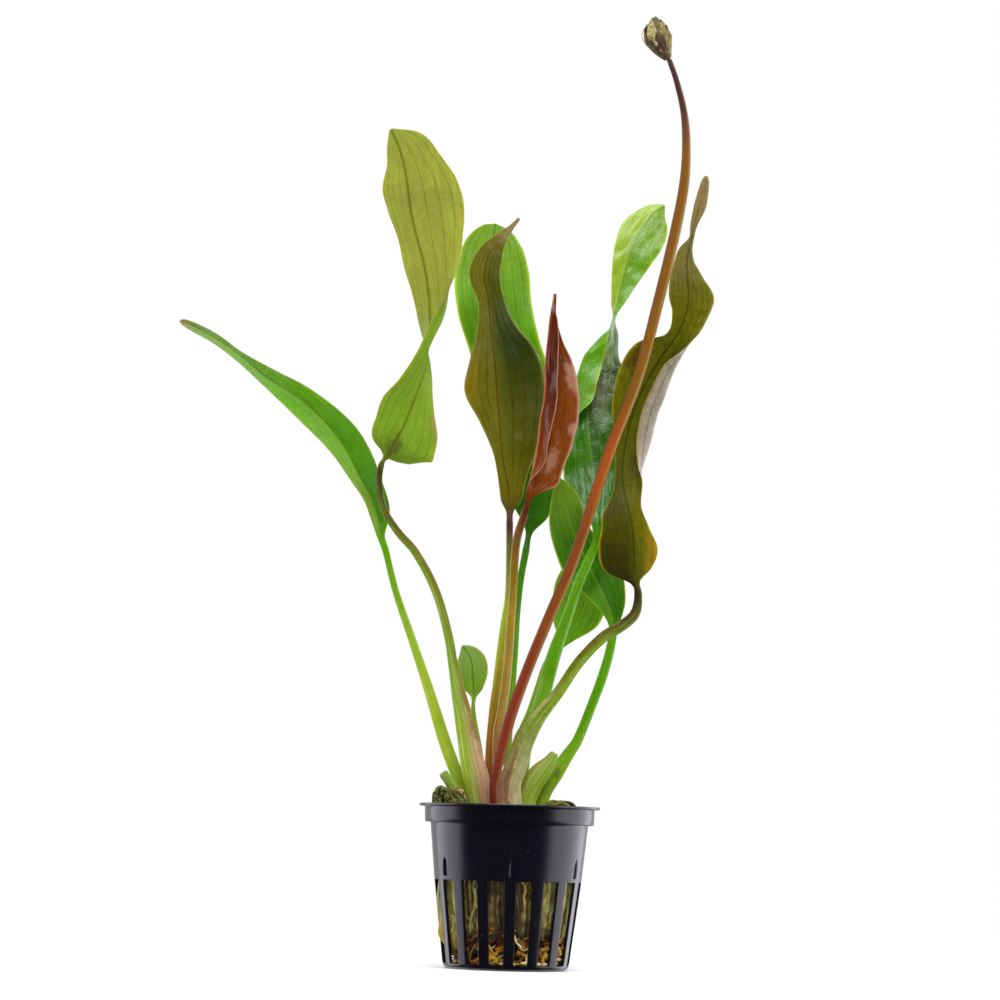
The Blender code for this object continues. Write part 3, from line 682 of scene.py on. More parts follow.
# %% Upper left leaf
add_leaf("leaf_upper_left", {
    "slot": "olive_leaf", "cups": (0, 0), "wave": 6, "pucker": 0.2, "seed": 1,
    "stem": [(-5.6, -4.2, 31, 5), (-10.2, -5.2, 56.3, 7.8), (-12, -5.2, 63, 7.3),
             (-13.5, -5, 69.8, 6.3), (-15, -5, 76.6, 5.4), (-16.7, -5, 83.5, 4.2),
             (-18.2, -5.1, 90.1, 3.1), (-20.2, -5.5, 100.5, 2.7), (-24.5, -6, 114, 2.6),
             (-31, -6.5, 125.5, 2.4), (-36.5, -7, 131.5, 2.3), (-41, -7.5, 138.5, 2),
             (-42.6, -8, 146.5, 1.9), (-42.2, -8, 151.5, 1.9)],
    "blade": [(-40.8, -8, 154.2, 1, 1), (-39.8, -8, 155.6, 4.6, 7), (-38.3, -8.5, 158.8, 8, 12.8),
              (-35.9, -9, 163, 9, 11.6), (-33.5, -9.5, 169.5, 9.2, 7.8), (-31.4, -10, 175.5, 7, 5),
              (-29.8, -10, 181.5, 6.2, 4.2), (-28.7, -10, 189, 6.4, 4.4),
              (-28.5, -10, 197, 9.2, 4.4), (-29.3, -11, 205.5, 10.6, 5.2),
              (-31, -12, 214, 12.4, 6.2), (-33.5, -13, 222.5, 15.2, 5.8),
              (-35.5, -15, 230.5, 16.4, 7), (-36.5, -17, 237, 15, 7.8), (-38, -18, 244, 11.2, 5.2),
              (-40, -19, 249.5, 8, 3.4), (-42, -20, 253.5, 0.6, 0.6)],
    "turns": [0] * 4 + [-8, -25, -60, -105, -150, -168] + [-175] * 7,
    "left_curls": [0] * 5 + [-10, -50, -95, -125, -80, -20] + [0] * 6,
    "look": {
        "stem": ("lime", "light green", "light green", "dark olive"),
        "stem_right": ("blush", "light green", "olive", "dark olive"),
        "streak": ("cream", 0.8), "thread": ("rust", 0.7),
        "left": ("light green", "light green"), "right": ("light green", "moss green"),
        "under_left": ("light green", "moss green", "moss green"),
        "under_right": ("frosted green", "moss green", "moss green"),
        "rib": "olive", "rib_width": 0.7, "vein": "olive", "margin": "gold",
        "blots": [(0.0, 0.02, 0.3, 0.07, "purple brown", 0.5), (-0.9, 0.5, 0.35, 0.05, "rust", 0.4),
                  (0.95, 0.14, 0.2, 0.05, "tan", 0.6), (0.8, -0.6, 0.6, 0.2, "rust", 0.5)],
    },
})

# %% [markdown]
# Behind the middle leaves stands a broad bright green one with a rounded top.

# %% Rear leaf
add_leaf("leaf_rear", {
    "slot": "green_leaf", "cups": (8, 8), "wave": 7, "pucker": 0.2, "seed": 2,
    "stem": [(-0.6, 1.2, 31, 2), (-1.1, 3, 69.5, 2.6), (-0.8, 4.5, 81, 2.8), (0.1, 7, 97.5, 2.5),
             (0.5, 9, 108.5, 2.3), (1.4, 10.4, 119, 2.2), (2.8, 11.3, 128, 2.2)],
    "blade": [(3.8, 12.5, 134.5, 1.2, 1.2), (4.2, 14, 140.5, 4.3, 6.2), (2.5, 17, 151, 7.6, 9.4),
              (-0.5, 20, 164, 8.8, 11), (-2.5, 24, 179, 13, 13), (-6, 27, 193.5, 10.5, 12.2),
              (-9, 30, 207, 12, 12), (-10.5, 33, 218.5, 11.7, 12.3), (-10.5, 35, 227.5, 9.4, 10.2),
              (-10, 36, 232.5, 6.6, 7), (-9.7, 36.4, 235, 3.6, 3.8),
              (-9.5, 36.6, 236, TIP, TIP)],
    "look": {
        "stem": ("lime", "fresh green", "green"), "left": ("green", "fresh green", "light green"),
        "rib": "green", "vein": "green", "margin": "lime",
        "blots": [(0.16, 0.6, 0.22, 0.5, "green", 0.5)], "gloss": 0.42,
    },
})

# %% [markdown]
# The middle leaf is older: olive with a golden blot on its left half, and darker green on
# its right, with dark veins that gather at the foot of the blade, and a dry tip.

# %% Middle leaf
add_leaf("leaf_centre", {
    "slot": "olive_leaf", "cups": (6, 6), "wave": 6, "pucker": 0.2, "seed": 3,
    "stem": [(-4.4, 0.4, 31, 1.8), (-6.7, 1, 61.5, 2.4), (-5.9, 1, 77.5, 2.6), (-5, 1.4, 86, 2.6),
             (-4, 2, 97, 2.5), (-3.1, 2.3, 106, 2.3), (-2.3, 2.8, 113, 2), (-2.2, 3, 124.5, 2),
             (-2.4, 3.5, 135.5, 2.1)],
    "blade": [(-2.5, 4, 139.8, 1.1, 1.2), (-2.7, 4.3, 143, 2.5, 3.8), (-3.2, 4.5, 147.5, 2.8, 5.4),
              (-4.5, 5, 153, 2.4, 8.6), (-5.5, 5.5, 159, 2.9, 11.7), (-6.5, 7, 168.5, 6.2, 14.2),
              (-7.5, 8, 178, 10.2, 15.3), (-8.5, 9, 187.5, 8, 13.8), (-10, 11, 197.5, 4.4, 8.2),
              (-11, 13, 207, 3.3, 5), (-12.5, 14, 215.5, 5, 5), (-11, 15, 222.5, 3.6, 4.4),
              (-7.5, 15.5, 227.5, 1.9, 2.1), (-4.5, 16, 231, 0.9, 0.9),
              (-2, 16, 234, TIP, TIP)],
    "look": {
        "stem": ("copper", "gold", "lime", "purple brown"), "thread": ("rust", 0.5),
        "left": ("olive", "olive"), "mottle": 0.3,
        "right": ("olive", "deep green", "olive"), "join": (-0.2, 0.4),
        "rib": "maroon", "vein": "maroon", "vein_share": 0.55, "margin": "tan",
        "margin_share": 0.3, "rib_width": 0.45,
        "blots": [(-0.8, 0.42, 0.35, 0.14, "gold", 0.5), (0.0, 1.0, 3, 0.14, "tan", 0.9)],
    },
})

# %% [markdown]
# The youngest leaf is rust red and still folded: its left half lies over its right one,
# so the front shows a dark fold and a glossy orange-brown half beside it.

# %% Young red leaf
add_leaf("leaf_young_red", {
    "slot": "red_leaf", "cups": (140, -15), "wave": 0, "pucker": 0.55, "seed": 4,
    "stem": [(-2.2, -1.9, 31, 2.4), (-4.5, -2, 69.5, 2.8), (-3.4, -2.5, 77.5, 2.9),
             (-2.3, -3, 86, 2.9), (-1.5, -3.7, 100, 2.8), (-0.9, -4.2, 112.4, 2.6),
             (-0.6, -5, 124.5, 2.5), (0, -5, 131, 2.5), (1.8, -5.5, 137.3, 2.4)],
    "blade": [(3.5, -6, 143.5, 1.1, 1), (4, -6, 148, 2.1, 7.6), (5, -6.5, 153.5, 3.2, 8.8),
              (6, -7, 160.5, 3.6, 10.4), (6.5, -7.5, 167.5, 4.6, 11.6), (7.5, -8, 174.5, 4.5, 10.8),
              (7.5, -8.5, 185, 4.6, 8.5), (8, -9, 193, 3.8, 4.1), (8.5, -9, 199.5, 2.1, 1.7),
              (9.5, -9, 206, TIP, TIP)],
    "look": {
        "stem": ("copper", "gold", "gold", "maroon"), "stem_right": ("copper", "straw", "gold", "maroon"),
        "streak": ("cream", 0.3), "thread": ("rust", 0.6),
        "left": ("rust", "maroon"), "right": ("rust", "rust", "maroon"),
        "under_left": ("rust", "maroon", "maroon"), "under_right": ("rust", "maroon"),
        # The blush margin is a painted highlight along the edges, and the blush blots are partly pink patches
        # and partly painted highlights.
        "rib": "copper", "rib_width": 0.9, "vein": "maroon", "margin": "blush",
        "margin_share": 0.7, "gloss": 0.24, "shine": 0.3, "scatter": 0.1, "mottle": 0.4,
        "blots": [(0.85, 0.6, 0.3, 0.1, "blush", 0.5), (0.5, 0.2, 0.25, 0.1, "blush", 0.4),
                  (0.9, 0.35, 0.2, 0.05, "blush", 0.5)],
    },
})

# %% [markdown]
# The twisted leaf on the right shows the underside of its tip, bright lime green, then
# turns over into a dark green blade whose left margin rolls forward.

# %% Twisted right leaf
add_leaf("leaf_twisted_right", {
    "slot": "green_leaf", "cups": (0, 0), "wave": 4, "pucker": 0.5, "seed": 5,
    "stem": [(3.2, 1.4, 31, 4), (4, 2, 66, 4.2), (8.7, 2.5, 81, 4.5), (11.9, 3.5, 94.5, 4.4),
             (16.3, 4, 108.5, 3.2), (19, 4.5, 117, 3.1), (22, 5, 125, 3.1)],
    "blade": [(24.5, 5, 131.5, 1.3, 1.3), (24.5, 6, 138, 2.2, 3.4), (24, 9.5, 146.5, 8.6, 6.8),
              (23, 13, 156, 9.3, 9.3), (21.5, 15, 166.5, 7.8, 11.2), (21, 17, 175.5, 9.7, 10.9),
              (21.6, 18, 183.5, 11.9, 10.8), (24, 19, 192.5, 8.2, 8.8),
              (27.4, 20, 198.5, 3.6, 5.2), (28.8, 20, 203, 2.7, 3), (30, 21, 209.5, 3, 2.6),
              (31.5, 22, 218, 5.9, 3.8), (33.5, 23, 226, 8.4, 5.2), (36.5, 25, 233, 9, 6),
              (40.5, 27, 239, 6.2, 3.4), (44.2, 28.6, 242, TIP, TIP)],
    "turns": [0] * 7 + [-10, -45, -95, -150, -172] + [-175] * 4,
    "left_curls": [0] * 4 + [50, 150, 165, 160, 60, -15] + [0] * 6,
    "right_curls": [0] * 9 + [25] + [0] * 6, "bend": (0.3, 0.5),
    "look": {
        "stem": ("lime", "fresh green", "fresh green"), "left": ("green", "green", "fresh green"),
        "right": ("green", "deep green", "fresh green"),
        "under_left": ("frosted green", "fresh green", "light green"), "under_right": ("light green", "lime"),
        "rib": "light green", "rib_share": 0.5, "vein": "light green", "margin": "lime",
        "gloss": 0.26, "vein_share": 0.25, "shine": 0.35,
        # The silver blot is a painted reflection on the glossy wrinkled blade.
        "blots": [(0.1, 0.55, 0.6, 0.1, "frosted green", 0.7), (0.35, 0.42, 0.35, 0.12, "silver", 0.35)],
    },
})

# %% [markdown]
# Low on the right are a bright green leaf, whose tip passes in front of the twisted
# one, and a small pale leaf behind it.

# %% Low right leaves
add_leaf("leaf_low_green", {
    "slot": "green_leaf", "cups": (5, 5), "wave": 6, "pucker": 0.15, "seed": 6,
    "stem": [(8.2, 2.4, 31, 4.2), (9.8, 2, 52, 4.6), (14, 2, 60, 4.6), (17.4, 2.5, 65.5, 3.7),
             (20.2, 3, 70, 3.1), (24.9, 3.5, 82.5, 2.9), (27.3, 4, 89.5, 3),
             (29.4, 4.5, 97.5, 2.8)],
    "blade": [(30.5, 5, 105, 1.5, 1.5), (29, 7, 111, 2.8, 5.4), (26, 9.5, 117.5, 5.2, 8.3),
              (22.5, 12, 124.5, 8, 8.7), (19.5, 11, 130.5, 8, 6), (16.5, 7, 136.5, 6.9, 5),
              (14.5, 3.5, 142.5, 4.9, 4.9), (13, 2.6, 147, 2.4, 3.8),
              (12, 2, 150.5, TIP, TIP)],
    "look": {
        "stem": ("lime", "fresh green", "fresh green"), "left": ("fresh green", "green", "light green"),
        "right": ("green", "green", "light green"),
        "rib": "light green", "vein": "light green", "margin": "lime", "vein_share": 0.3,
        "blots": [(0.2, -0.62, 0.5, 0.025, "purple brown", 0.4)],
    },
})
add_leaf("leaf_low_rear", {
    "slot": "pale_leaf", "cups": (0, 0), "wave": 5, "pucker": 0.15, "seed": 7,
    "stem": [(1, 4.8, 31, 1.5), (1.6, 8, 68, 1.7), (5.4, 10, 79, 1.7), (7.4, 12, 85.7, 1.6),
             (10, 15, 93.8, 1.6)],
    "blade": [(14, 18, 99, 1, 1), (15.5, 19, 102, 2.2, 2.8), (17, 20, 106.5, 5.3, 7),
              (19, 22, 112, 7.5, 9.1), (20.5, 23, 118.5, 8.1, 8.1), (22, 24, 124, 6.3, 5.3),
              (23.5, 25, 129.5, TIP, TIP)],
    "look": {
        "stem": ("lime", "light green"), "left": ("fresh green", "light green"),
        "rib": "lime", "vein": "lime", "margin": "lime", "gloss": 0.5, "vein_share": 0.3,
    },
})

# %% [markdown]
# The tall leaf on the right is old: olive, going on dry and tan at its tip. Its right half
# rolls right over, so a strip of pale underside with fine veins faces the front.

# %% Wavy right leaf
add_leaf("leaf_wavy_right", {
    "slot": "brown_leaf", "cups": (8, 5), "wave": 5, "pucker": 0.2, "seed": 8,
    "stem": [(3.2, -4.4, 31, 6.4), (-0.3, -4.2, 55, 7), (1.2, -4.5, 60.5, 6.8), (2.8, -5, 66, 6.3),
             (4.2, -5.6, 70.3, 6.3), (8.1, -6.4, 76.7, 4.7), (13.6, -7.2, 83.7, 3.5),
             (19.6, -8, 93, 3.3), (26.9, -8, 101, 3.3), (32.3, -8, 104.5, 3.3),
             (36.4, -8, 108.5, 3.1), (37.2, -8, 114.5, 2.4)],
    "blade": [(36.2, -8, 118, 1.5, 1.5), (35.7, -8.5, 121.8, 9, 5.2), (35.5, -9.5, 128, 10.9, 7.3),
              (35, -10, 134, 10, 5), (33.5, -9.5, 140.5, 8, 4.2), (32, -8, 146, 3.2, 8),
              (31.5, -6.5, 153, 2.2, 11), (32.5, -5.5, 161.5, 3.6, 13.4),
              (34.5, -5.5, 170.5, 7, 13.8), (38, -6.5, 179, 9.2, 13.2), (42, -8, 186.5, 9, 10.6),
              (46.5, -10, 193, 3, 7.4), (49.6, -11, 200, 4.4, 6.8), (50.3, -11, 205.5, 6, 8),
              (50, -11, 211, 5.6, 5), (49.6, -10, 216.5, 3.9, 2.6), (50.2, -9.5, 220.6, 3, 1.2),
              (51, -9, 224.5, 0.8, 0.8), (51.6, -9, 228.5, 1.1, 1.1),
              (53.2, -9.5, 234.5, 1.7, 2.1), (54.5, -10, 240.3, 1.5, 1.5),
              (54.9, -10, 242.6, 1.1, 1.1), (55.1, -10, 243.8, TIP, TIP)],
    "right_curls": [0] * 4 + [20, 60, 110, 150, 160, 160, 150, 90, 20] + [0] * 10,
    "look": {
        "stem": ("blush", "light green", "olive", "soil"),
        "stem_right": ("cream", "light green", "light green", "dark olive"),
        "streak": ("cream", 0.8), "thread": ("rust", 0.8), "join": (-0.3, 0.4),
        # The dark olive at the foot of the left half is partly the leaf's mottling and partly painted shade.
        "left": ("dark olive", "olive", "olive", "tan"), "right": ("olive", "olive", "olive", "tan"),
        "under_right": ("silver", "silver", "olive"),
        "rib": "dark olive", "vein": "dark olive", "margin": "gold", "margin_share": 0.5,
        "blots": [(-0.3, -0.72, 0.3, 0.15, "rust", 0.6), (0.85, 0.07, 0.4, 0.07, "gold", 0.9),
                  (-0.8, 0.52, 0.35, 0.06, "maroon", 0.5), (0.0, 1.0, 3, 0.18, "tan", 0.8)],
        "mottle": 0.6,
    },
})

# %% [markdown]
# Last of the leaves is a small round one that has only just opened.

# %% Small round leaf
add_leaf("leaf_small_round", {
    "slot": "green_leaf", "cups": (5, 5), "wave": 0, "pucker": 0.1, "seed": 9,
    "stem": [(-4.2, 5, 31, 1.2), (-9, 6, 64, 1.2), (-12, 7.5, 78, 1.4)],
    "blade": [(-12, 8, 82.5, 0.8, 0.8), (-12, 8.5, 84.5, 2.8, 2.5), (-12.5, 9, 89, 4.9, 4.6),
              (-13, 9.5, 93.5, 5.2, 4.6), (-14.5, 10, 96.5, 3.1, 2.8), (-16, 10, 98.2, TIP, TIP)],
    "look": {
        "stem": ("lime", "light green"), "left": ("light green", "frosted green"),
        "rib": "green", "vein": "green", "margin": "lime",
    },
})

# %% [markdown]
# The net pot is moulded from one thin wall, so it begins as a closed profile of that wall
# which is spun round. Faces are then taken out of the outer and inner skins where a slot
# goes, and the two openings are bridged to give the slot its sides.

# %% Pot profile
WALL = 1.0
WALL_FOOT = 2.4
WALL_TOP = 43.9
FOOT_RADIUS = 19.3
SLOT_TOP_RADIUS = 22.3
WALL_TOP_RADIUS = 24.0
SLOT_FOOT = 1.7
SLOT_TOP = 26.6
POT_COLUMNS = 384
SECTORS = 16
SECTOR_START = 2.0
COLUMNS_IN_SECTOR = POT_COLUMNS // SECTORS
SLOT_COLUMNS = range(5, 19)
FLOOR_SLOT = (8, 15)
FLOOR_SLOT_COLUMNS = range(7, 18)
FLOOR_RADIUS = 17.3
DENT_FOOT = 27.8
DENT_ROWS = [27.2, DENT_FOOT - 0.05] + [DENT_FOOT + 0.01 + 0.4 * row for row in range(18)]


def wall_radius(height):
    """Outer radius of the pot's wall: two straight tapers, the lower one steeper."""
    if height > SLOT_TOP:
        share = (height - SLOT_TOP) / (WALL_TOP - SLOT_TOP)
        return SLOT_TOP_RADIUS + (WALL_TOP_RADIUS - SLOT_TOP_RADIUS) * share
    return FOOT_RADIUS + (SLOT_TOP_RADIUS - FOOT_RADIUS) * (height - WALL_FOOT) / (SLOT_TOP - WALL_FOOT)


def pot_profile():
    """Radius and height of every row, from the middle of the underside round to the floor."""
    outside = [(0, 0), (8, 0), (15, 0), (17.1, 0), (17.5, 0.1), (18.6, 0.6), (18.95, 1.0),
               (19.12, SLOT_FOOT)]
    outside += [(wall_radius(z), z) for z in (WALL_FOOT, 5, 8, 11, 14, 17, 20, 23, 25.5, SLOT_TOP,
                                              *DENT_ROWS, 37, 40, 43.2)]
    outside += [(24.05, 43.75), (24.2, WALL_TOP), (25.5, WALL_TOP), (25.7, 44.1), (25.78, 46.3),
                (25.85, 48.4), (26.0, 48.65), (26.2, 48.7), (27.3, 48.7), (27.5, 48.85), (27.5, 49.3),
                (27.35, 49.5)]
    inside = [(25.1, 49.5), (24.85, 49.25), (24.7, 44.9), (23.1, 42.9), (21.3, SLOT_TOP)]
    inside += [(wall_radius(z) - WALL, z) for z in (22, 17, 12, 7, WALL_FOOT)]
    inside += [(17.6, SLOT_FOOT), (16.4, 1.2), (15, 1.2), (8, 1.2), (0, 1.2)]
    return outside + inside


print("the wall's profile has", len(pot_profile()), "points")

# %% [markdown]
# Six small pointed dents sit in a ring above the slots. They are pushed into the skin
# by moving the vertices that lie inside each pointed outline. The slot edges are then
# rounded a little, since a moulded edge always catches a thin line of light.

# %% Pot
DENT_TOP = 34.0
DENT_HALF = 1.1
DENT_POINT = 2.5
DENT_DEPTH = 0.7
DENT_SLOPE = 0.7
DENT_TURN = 87
DENT_GAP = 60
SLOT_ROUNDING = 0.18


def remove_slot_faces(shape):
    """Take out the faces where the slots go and give the openings, slot by slot."""
    doomed = []
    for face in shape.faces:
        middle = face.calc_center_median()
        column = math.degrees(math.atan2(middle.y, middle.x)) % 360 / 360 * POT_COLUMNS
        sector, place = divmod(int(column), COLUMNS_IN_SECTOR)
        radius = math.hypot(middle.x, middle.y)
        in_wall = radius > FLOOR_RADIUS and SLOT_FOOT < middle.z < SLOT_TOP and place in SLOT_COLUMNS
        in_floor = FLOOR_SLOT[0] < radius < FLOOR_SLOT[1] and middle.z < SLOT_FOOT
        if in_wall or in_floor and sector % 2 == 0 and place in FLOOR_SLOT_COLUMNS:
            doomed.append(face)
    bmesh.ops.delete(shape, geom=doomed, context="FACES")


def opening_loops(shape):
    """The rings of open edges, each as a list."""
    waiting = {edge for edge in shape.edges if edge.is_boundary}
    loops = []
    while waiting:
        loop = [waiting.pop()]
        for edge in loop:
            for vert in edge.verts:
                for other in vert.link_edges:
                    if other in waiting:
                        waiting.remove(other)
                        loop.append(other)
        loops.append(loop)
    return loops


def bridge_slots(shape):
    """Join each outer opening to the inner one that lies nearest."""
    loops = [(sum((vert.co for edge in loop for vert in edge.verts), Vector()) / (2 * len(loop)), loop)
             for loop in opening_loops(shape)]
    rims = []
    while loops:
        centre, loop = loops.pop()
        partner = min(loops, key=lambda entry: (entry[0] - centre).length)
        loops.remove(partner)
        bmesh.ops.bridge_loops(shape, edges=loop + partner[1])
        rims += loop + partner[1]
    return rims


def push_dents(shape):
    for vert in shape.verts:
        if not DENT_FOOT <= vert.co.z <= DENT_TOP or vert.co.xy.length < wall_radius(vert.co.z) - 0.2:
            continue
        angle = math.degrees(math.atan2(vert.co.y, vert.co.x)) + DENT_TURN + SECTOR_START
        from_dent = (angle + DENT_GAP / 2) % DENT_GAP - DENT_GAP / 2
        sideways = abs(math.radians(from_dent)) * vert.co.xy.length
        half = DENT_HALF * min(1, (DENT_TOP - vert.co.z) / DENT_POINT)
        depth = DENT_DEPTH * blend(0, DENT_SLOPE, half - sideways)
        vert.co.xy *= 1 - depth / vert.co.xy.length


def make_pot(finish):
    shape = new_shape()
    corners = [shape.verts.new((radius, 0, height)) for radius, height in pot_profile()]
    line = [shape.edges.new(pair) for pair in zip(corners, corners[1:])]
    bmesh.ops.spin(shape, geom=corners + line, cent=(0, 0, 0), axis=(0, 0, 1), angle=math.tau,
                   steps=POT_COLUMNS, use_merge=True)
    bmesh.ops.remove_doubles(shape, verts=shape.verts, dist=0.001)
    push_dents(shape)
    remove_slot_faces(shape)
    rims = bridge_slots(shape)
    bmesh.ops.bevel(shape, geom=rims, offset=SLOT_ROUNDING, offset_type="OFFSET", segments=2, profile=0.5,
                    affect="EDGES", material=-1)
    turn = Matrix.Rotation(math.radians(SECTOR_START), 3, "Z")
    bmesh.ops.rotate(shape, verts=shape.verts, matrix=turn)
    finished_piece("pot_shell", shape, finish, "pot")


def pot_finish():
    finish = Finish("black pot plastic")
    grain = finish.noise(2600.0, 2.0)
    smear = finish.noise(130.0, 3.0)
    dust = finish.step(finish.noise(1500.0, 1.0), 0.76, 0.8)
    colour = finish.tinted(pigment("black"), "tan", dust * 0.3)
    return finish.connect(Base_Color=colour, Roughness=0.2 + smear * 0.08 + grain * 0.03 + dust * 0.3,
                          Normal=finish.bump(grain * 0.5 + smear, 0.00004),
                          Specular_IOR_Level=0.42)


make_pot(pot_finish())

# %% [markdown]
# The wool is a lumpy body just inside the wall. Loose strands are laid over it, mostly
# upright, because the plug was cut from a mat whose fibres ran that way. A strand is a
# tube rolled round a wandering line and drawn to a point at both ends.

# %% Strands
TAPER = 0.18


def strand(shape, line, radius, sides, tone, flat=1.0):
    """A tube along a line of places, pointed at both ends."""
    last = len(line) - 1
    side = (line[1] - line[0]).orthogonal().normalized()
    rings = []
    for index, centre in enumerate(line):
        tangent = (line[min(index + 1, last)] - line[max(index - 1, 0)]).normalized()
        side = (side - tangent * side.dot(tangent)).normalized()
        other = tangent.cross(side)
        share = index / last
        width = radius * min(1.0, math.sqrt(min(share, 1 - share) / TAPER))
        ring = []
        for step in range(sides):
            angle = math.tau * step / sides
            offset = side * math.cos(angle) * width + other * math.sin(angle) * width * flat
            ring.append((centre + offset, {"tone": tone, "level": share, "across": step / sides}))
        rings.append(ring)
    rolled_skin(shape, rings)


def on_pot(angle, radius, height):
    """A place from its angle round the pot, in degrees, its radius and its height."""
    turn = math.radians(angle)
    return Vector((math.cos(turn) * radius, math.sin(turn) * radius, height))


def wandering(chance, start, heading, length, step, wander, keep):
    """A wandering line; keep takes each place and brings it back inside its bounds."""
    place, heading = start.copy(), heading.normalized()
    line = [place.copy()]
    for _ in range(max(3, round(length / step))):
        heading = (heading + Vector([chance.gauss(0, wander) for _ in range(3)])).normalized()
        place = keep(place + heading * step)
        line.append(place.copy())
    return line


print("strands are tubes along wandering lines")

# %% [markdown]
# Seen through the slots, the wool is dark in the middle of the front and paler towards
# the sides, so its tone follows the angle: this is painted shade at the front and painted
# light at the sides. Painted shade also darkens the gaps between its bundles and its
# ragged foot. On the left it bulges past the bars.

# %% Rock wool
WOOL_TOP = 45.0
WOOL_FOOT = 9.5
# painted shade at the front of the wool and painted light at its sides
FRONT_SHADE_TONE = 0.28
SIDE_LIGHT_TONE = 0.72
FOOT_SHADE = 0.35
BULGES = ((188, 19, 12, 16, 2.5), (197, 10, 16, 7, 3.0), (262, 18, 6, 8, 0.6), (306, 16, 6, 8, 0.7))
WOOL_COLUMNS = 360
SIDE_ROWS = 64
TOP_ROWS = 23


def painted_light_tone(angle):
    """Painted light and shade: the wool is darkest in the middle of the front and pales towards both sides.
    """
    return FRONT_SHADE_TONE + (SIDE_LIGHT_TONE - FRONT_SHADE_TONE) * abs(math.cos(math.radians(angle)))


def bundle(angle, height):
    """Upright bundles of fibres: above 0 on a bundle and below 0 between two."""
    turn = math.radians(angle)
    return noise.noise(Vector((math.cos(turn) * 15, math.sin(turn) * 15, height * 0.035)))


def wool_radius(angle, height):
    """Radius of the lumpy wool, held inside the wall except where it bulges through a slot."""
    turn = math.radians(angle)
    spot = Vector((math.cos(turn) * 6, math.sin(turn) * 6, height * 0.1))
    lumps = noise.noise(spot) + 0.4 * noise.noise(spot * 3)
    radius = wall_radius(height) - WALL - 1.3 + 0.6 * lumps + 0.9 * bundle(angle, height)
    for where, level, wide, long, depth in BULGES:
        far = math.hypot((angle - where) / wide, (height - level) / long)
        radius += depth * blend(0, 1, 1 - far)
    return radius


def wool_foot(angle):
    """Height of the ragged foot of the wool, which hangs lowest on the left."""
    return WOOL_FOOT + 2.4 * noise.noise(on_pot(angle, 6, 0)) - 6.5 * blend(0, 1, 1 - abs(angle - 201) / 22)


def wool_side(share, angle):
    foot = wool_foot(angle)
    height = foot + (WOOL_TOP - foot) * share
    place = on_pot(angle, wool_radius(angle, height), height)
    # Painted light and shade: lighter at the sides, darker at the front, in the gaps between bundles and at
    # the foot.
    tone = painted_light_tone(angle) - 0.08 + 0.5 * bundle(angle, height) + 0.2 * noise.noise(place * 0.4)
    tone -= FOOT_SHADE * blend(0, 1, 1 - (height - foot) / 4)
    golden = blend(0, 1, 1 - math.hypot((angle - 200) / 26, (height - 9) / 14))
    return place, {"tone": tone, "reach": golden}


def wool_top(share, angle):
    radius = wool_radius(angle, WOOL_TOP) * (1 - share * 0.9)
    lump = 1.1 * noise.noise(on_pot(angle, radius * 0.35, 3)) * min(1, share * 6)
    place = on_pot(angle, radius, WOOL_TOP - 3.5 * blend(0.3, 1, share) + lump)
    return place, {"tone": 0.38 + 0.3 * noise.noise(place * 0.4)}


print("the wool's side has", SIDE_ROWS, "rows")

# %% [markdown]
# Strands stand upright on the side of the wool and lie on its top. A pale one hangs in a
# slot near the front.

# %% Wool strands
UPRIGHT_STRANDS = 200
LYING_STRANDS = 240
LYING_RADIUS = 23
LAID_TONE = 0.95
LOOSE_FIBRE = ((300.8, 19.4), (302.3, 20.6), (304.2, 22.4))


def on_side(place):
    """The place, brought back to the side of the wool."""
    turn = math.degrees(math.atan2(place.y, place.x)) % 360
    level = min(max(place.z, WOOL_FOOT), WOOL_TOP - 1)
    return on_pot(turn, min(wool_radius(turn, level) + 0.1, wall_radius(level) - 0.75), level)


def on_top(place):
    """The place, brought back to the top of the wool."""
    place.z = min(max(place.z, WOOL_TOP - 2.2), WOOL_TOP + 1.6)
    if place.xy.length > LYING_RADIUS:
        place.xy *= LYING_RADIUS / place.xy.length
    return place


def add_wool_strands(shape, chance):
    for _ in range(UPRIGHT_STRANDS):
        angle = chance.uniform(0, 360)
        start = on_side(on_pot(angle, 20, chance.uniform(WOOL_FOOT, WOOL_TOP - 6)))
        upward = Vector((chance.gauss(0, 0.25), chance.gauss(0, 0.25), 1))
        line = wandering(chance, start, upward, chance.uniform(5, 16), 0.9, 0.16, on_side)
        # each upright strand takes the wool's painted light and shade, with a random share of its own
        tone = min(max(painted_light_tone(angle) + chance.gauss(0.05, 0.12), 0), 1)
        strand(shape, line, chance.uniform(0.16, 0.5), 7, tone)
    for _ in range(LYING_STRANDS):
        angle, radius = chance.uniform(0, 360), chance.uniform(9, LYING_RADIUS)
        heading = Vector((chance.gauss(0, 1), chance.gauss(0, 1), 0.05))
        line = wandering(chance, on_pot(angle, radius, WOOL_TOP), heading, chance.uniform(4, 11),
                         0.8, 0.35, on_top)
        strand(shape, line, chance.uniform(0.08, 0.26), 5, chance.uniform(0.1, 0.85))


def laid_strand(shape, places, radius):
    """A pale strand laid against the inside of the wall through angles and heights."""
    stations = [on_pot(angle, wall_radius(height) - WALL - 0.2, height) for angle, height in places]
    strand(shape, [Vector(row) for row in smooth_rows(stations, 0.5)], radius, 9, LAID_TONE)


wool_shape = skin_from(turned_rings(SIDE_ROWS, WOOL_COLUMNS, wool_side)
                       + turned_rings(TOP_ROWS, WOOL_COLUMNS, wool_top)[1:-1])
add_wool_strands(wool_shape, random.Random(11))
laid_strand(wool_shape, LOOSE_FIBRE, 0.22)
print(UPRIGHT_STRANDS + LYING_STRANDS, "strands on the wool")

# %% [markdown]
# Wool, roots and tufts share one dull, rough finish. Every strand has a tone, which picks
# a place on a scale of pigments, and fine lumps and threads vary it. On the wool, the tone
# also carries painted light and shade.

# %% Fibre finish
WOOL_PIGMENTS = ("soil", "umber", "khaki", "straw")


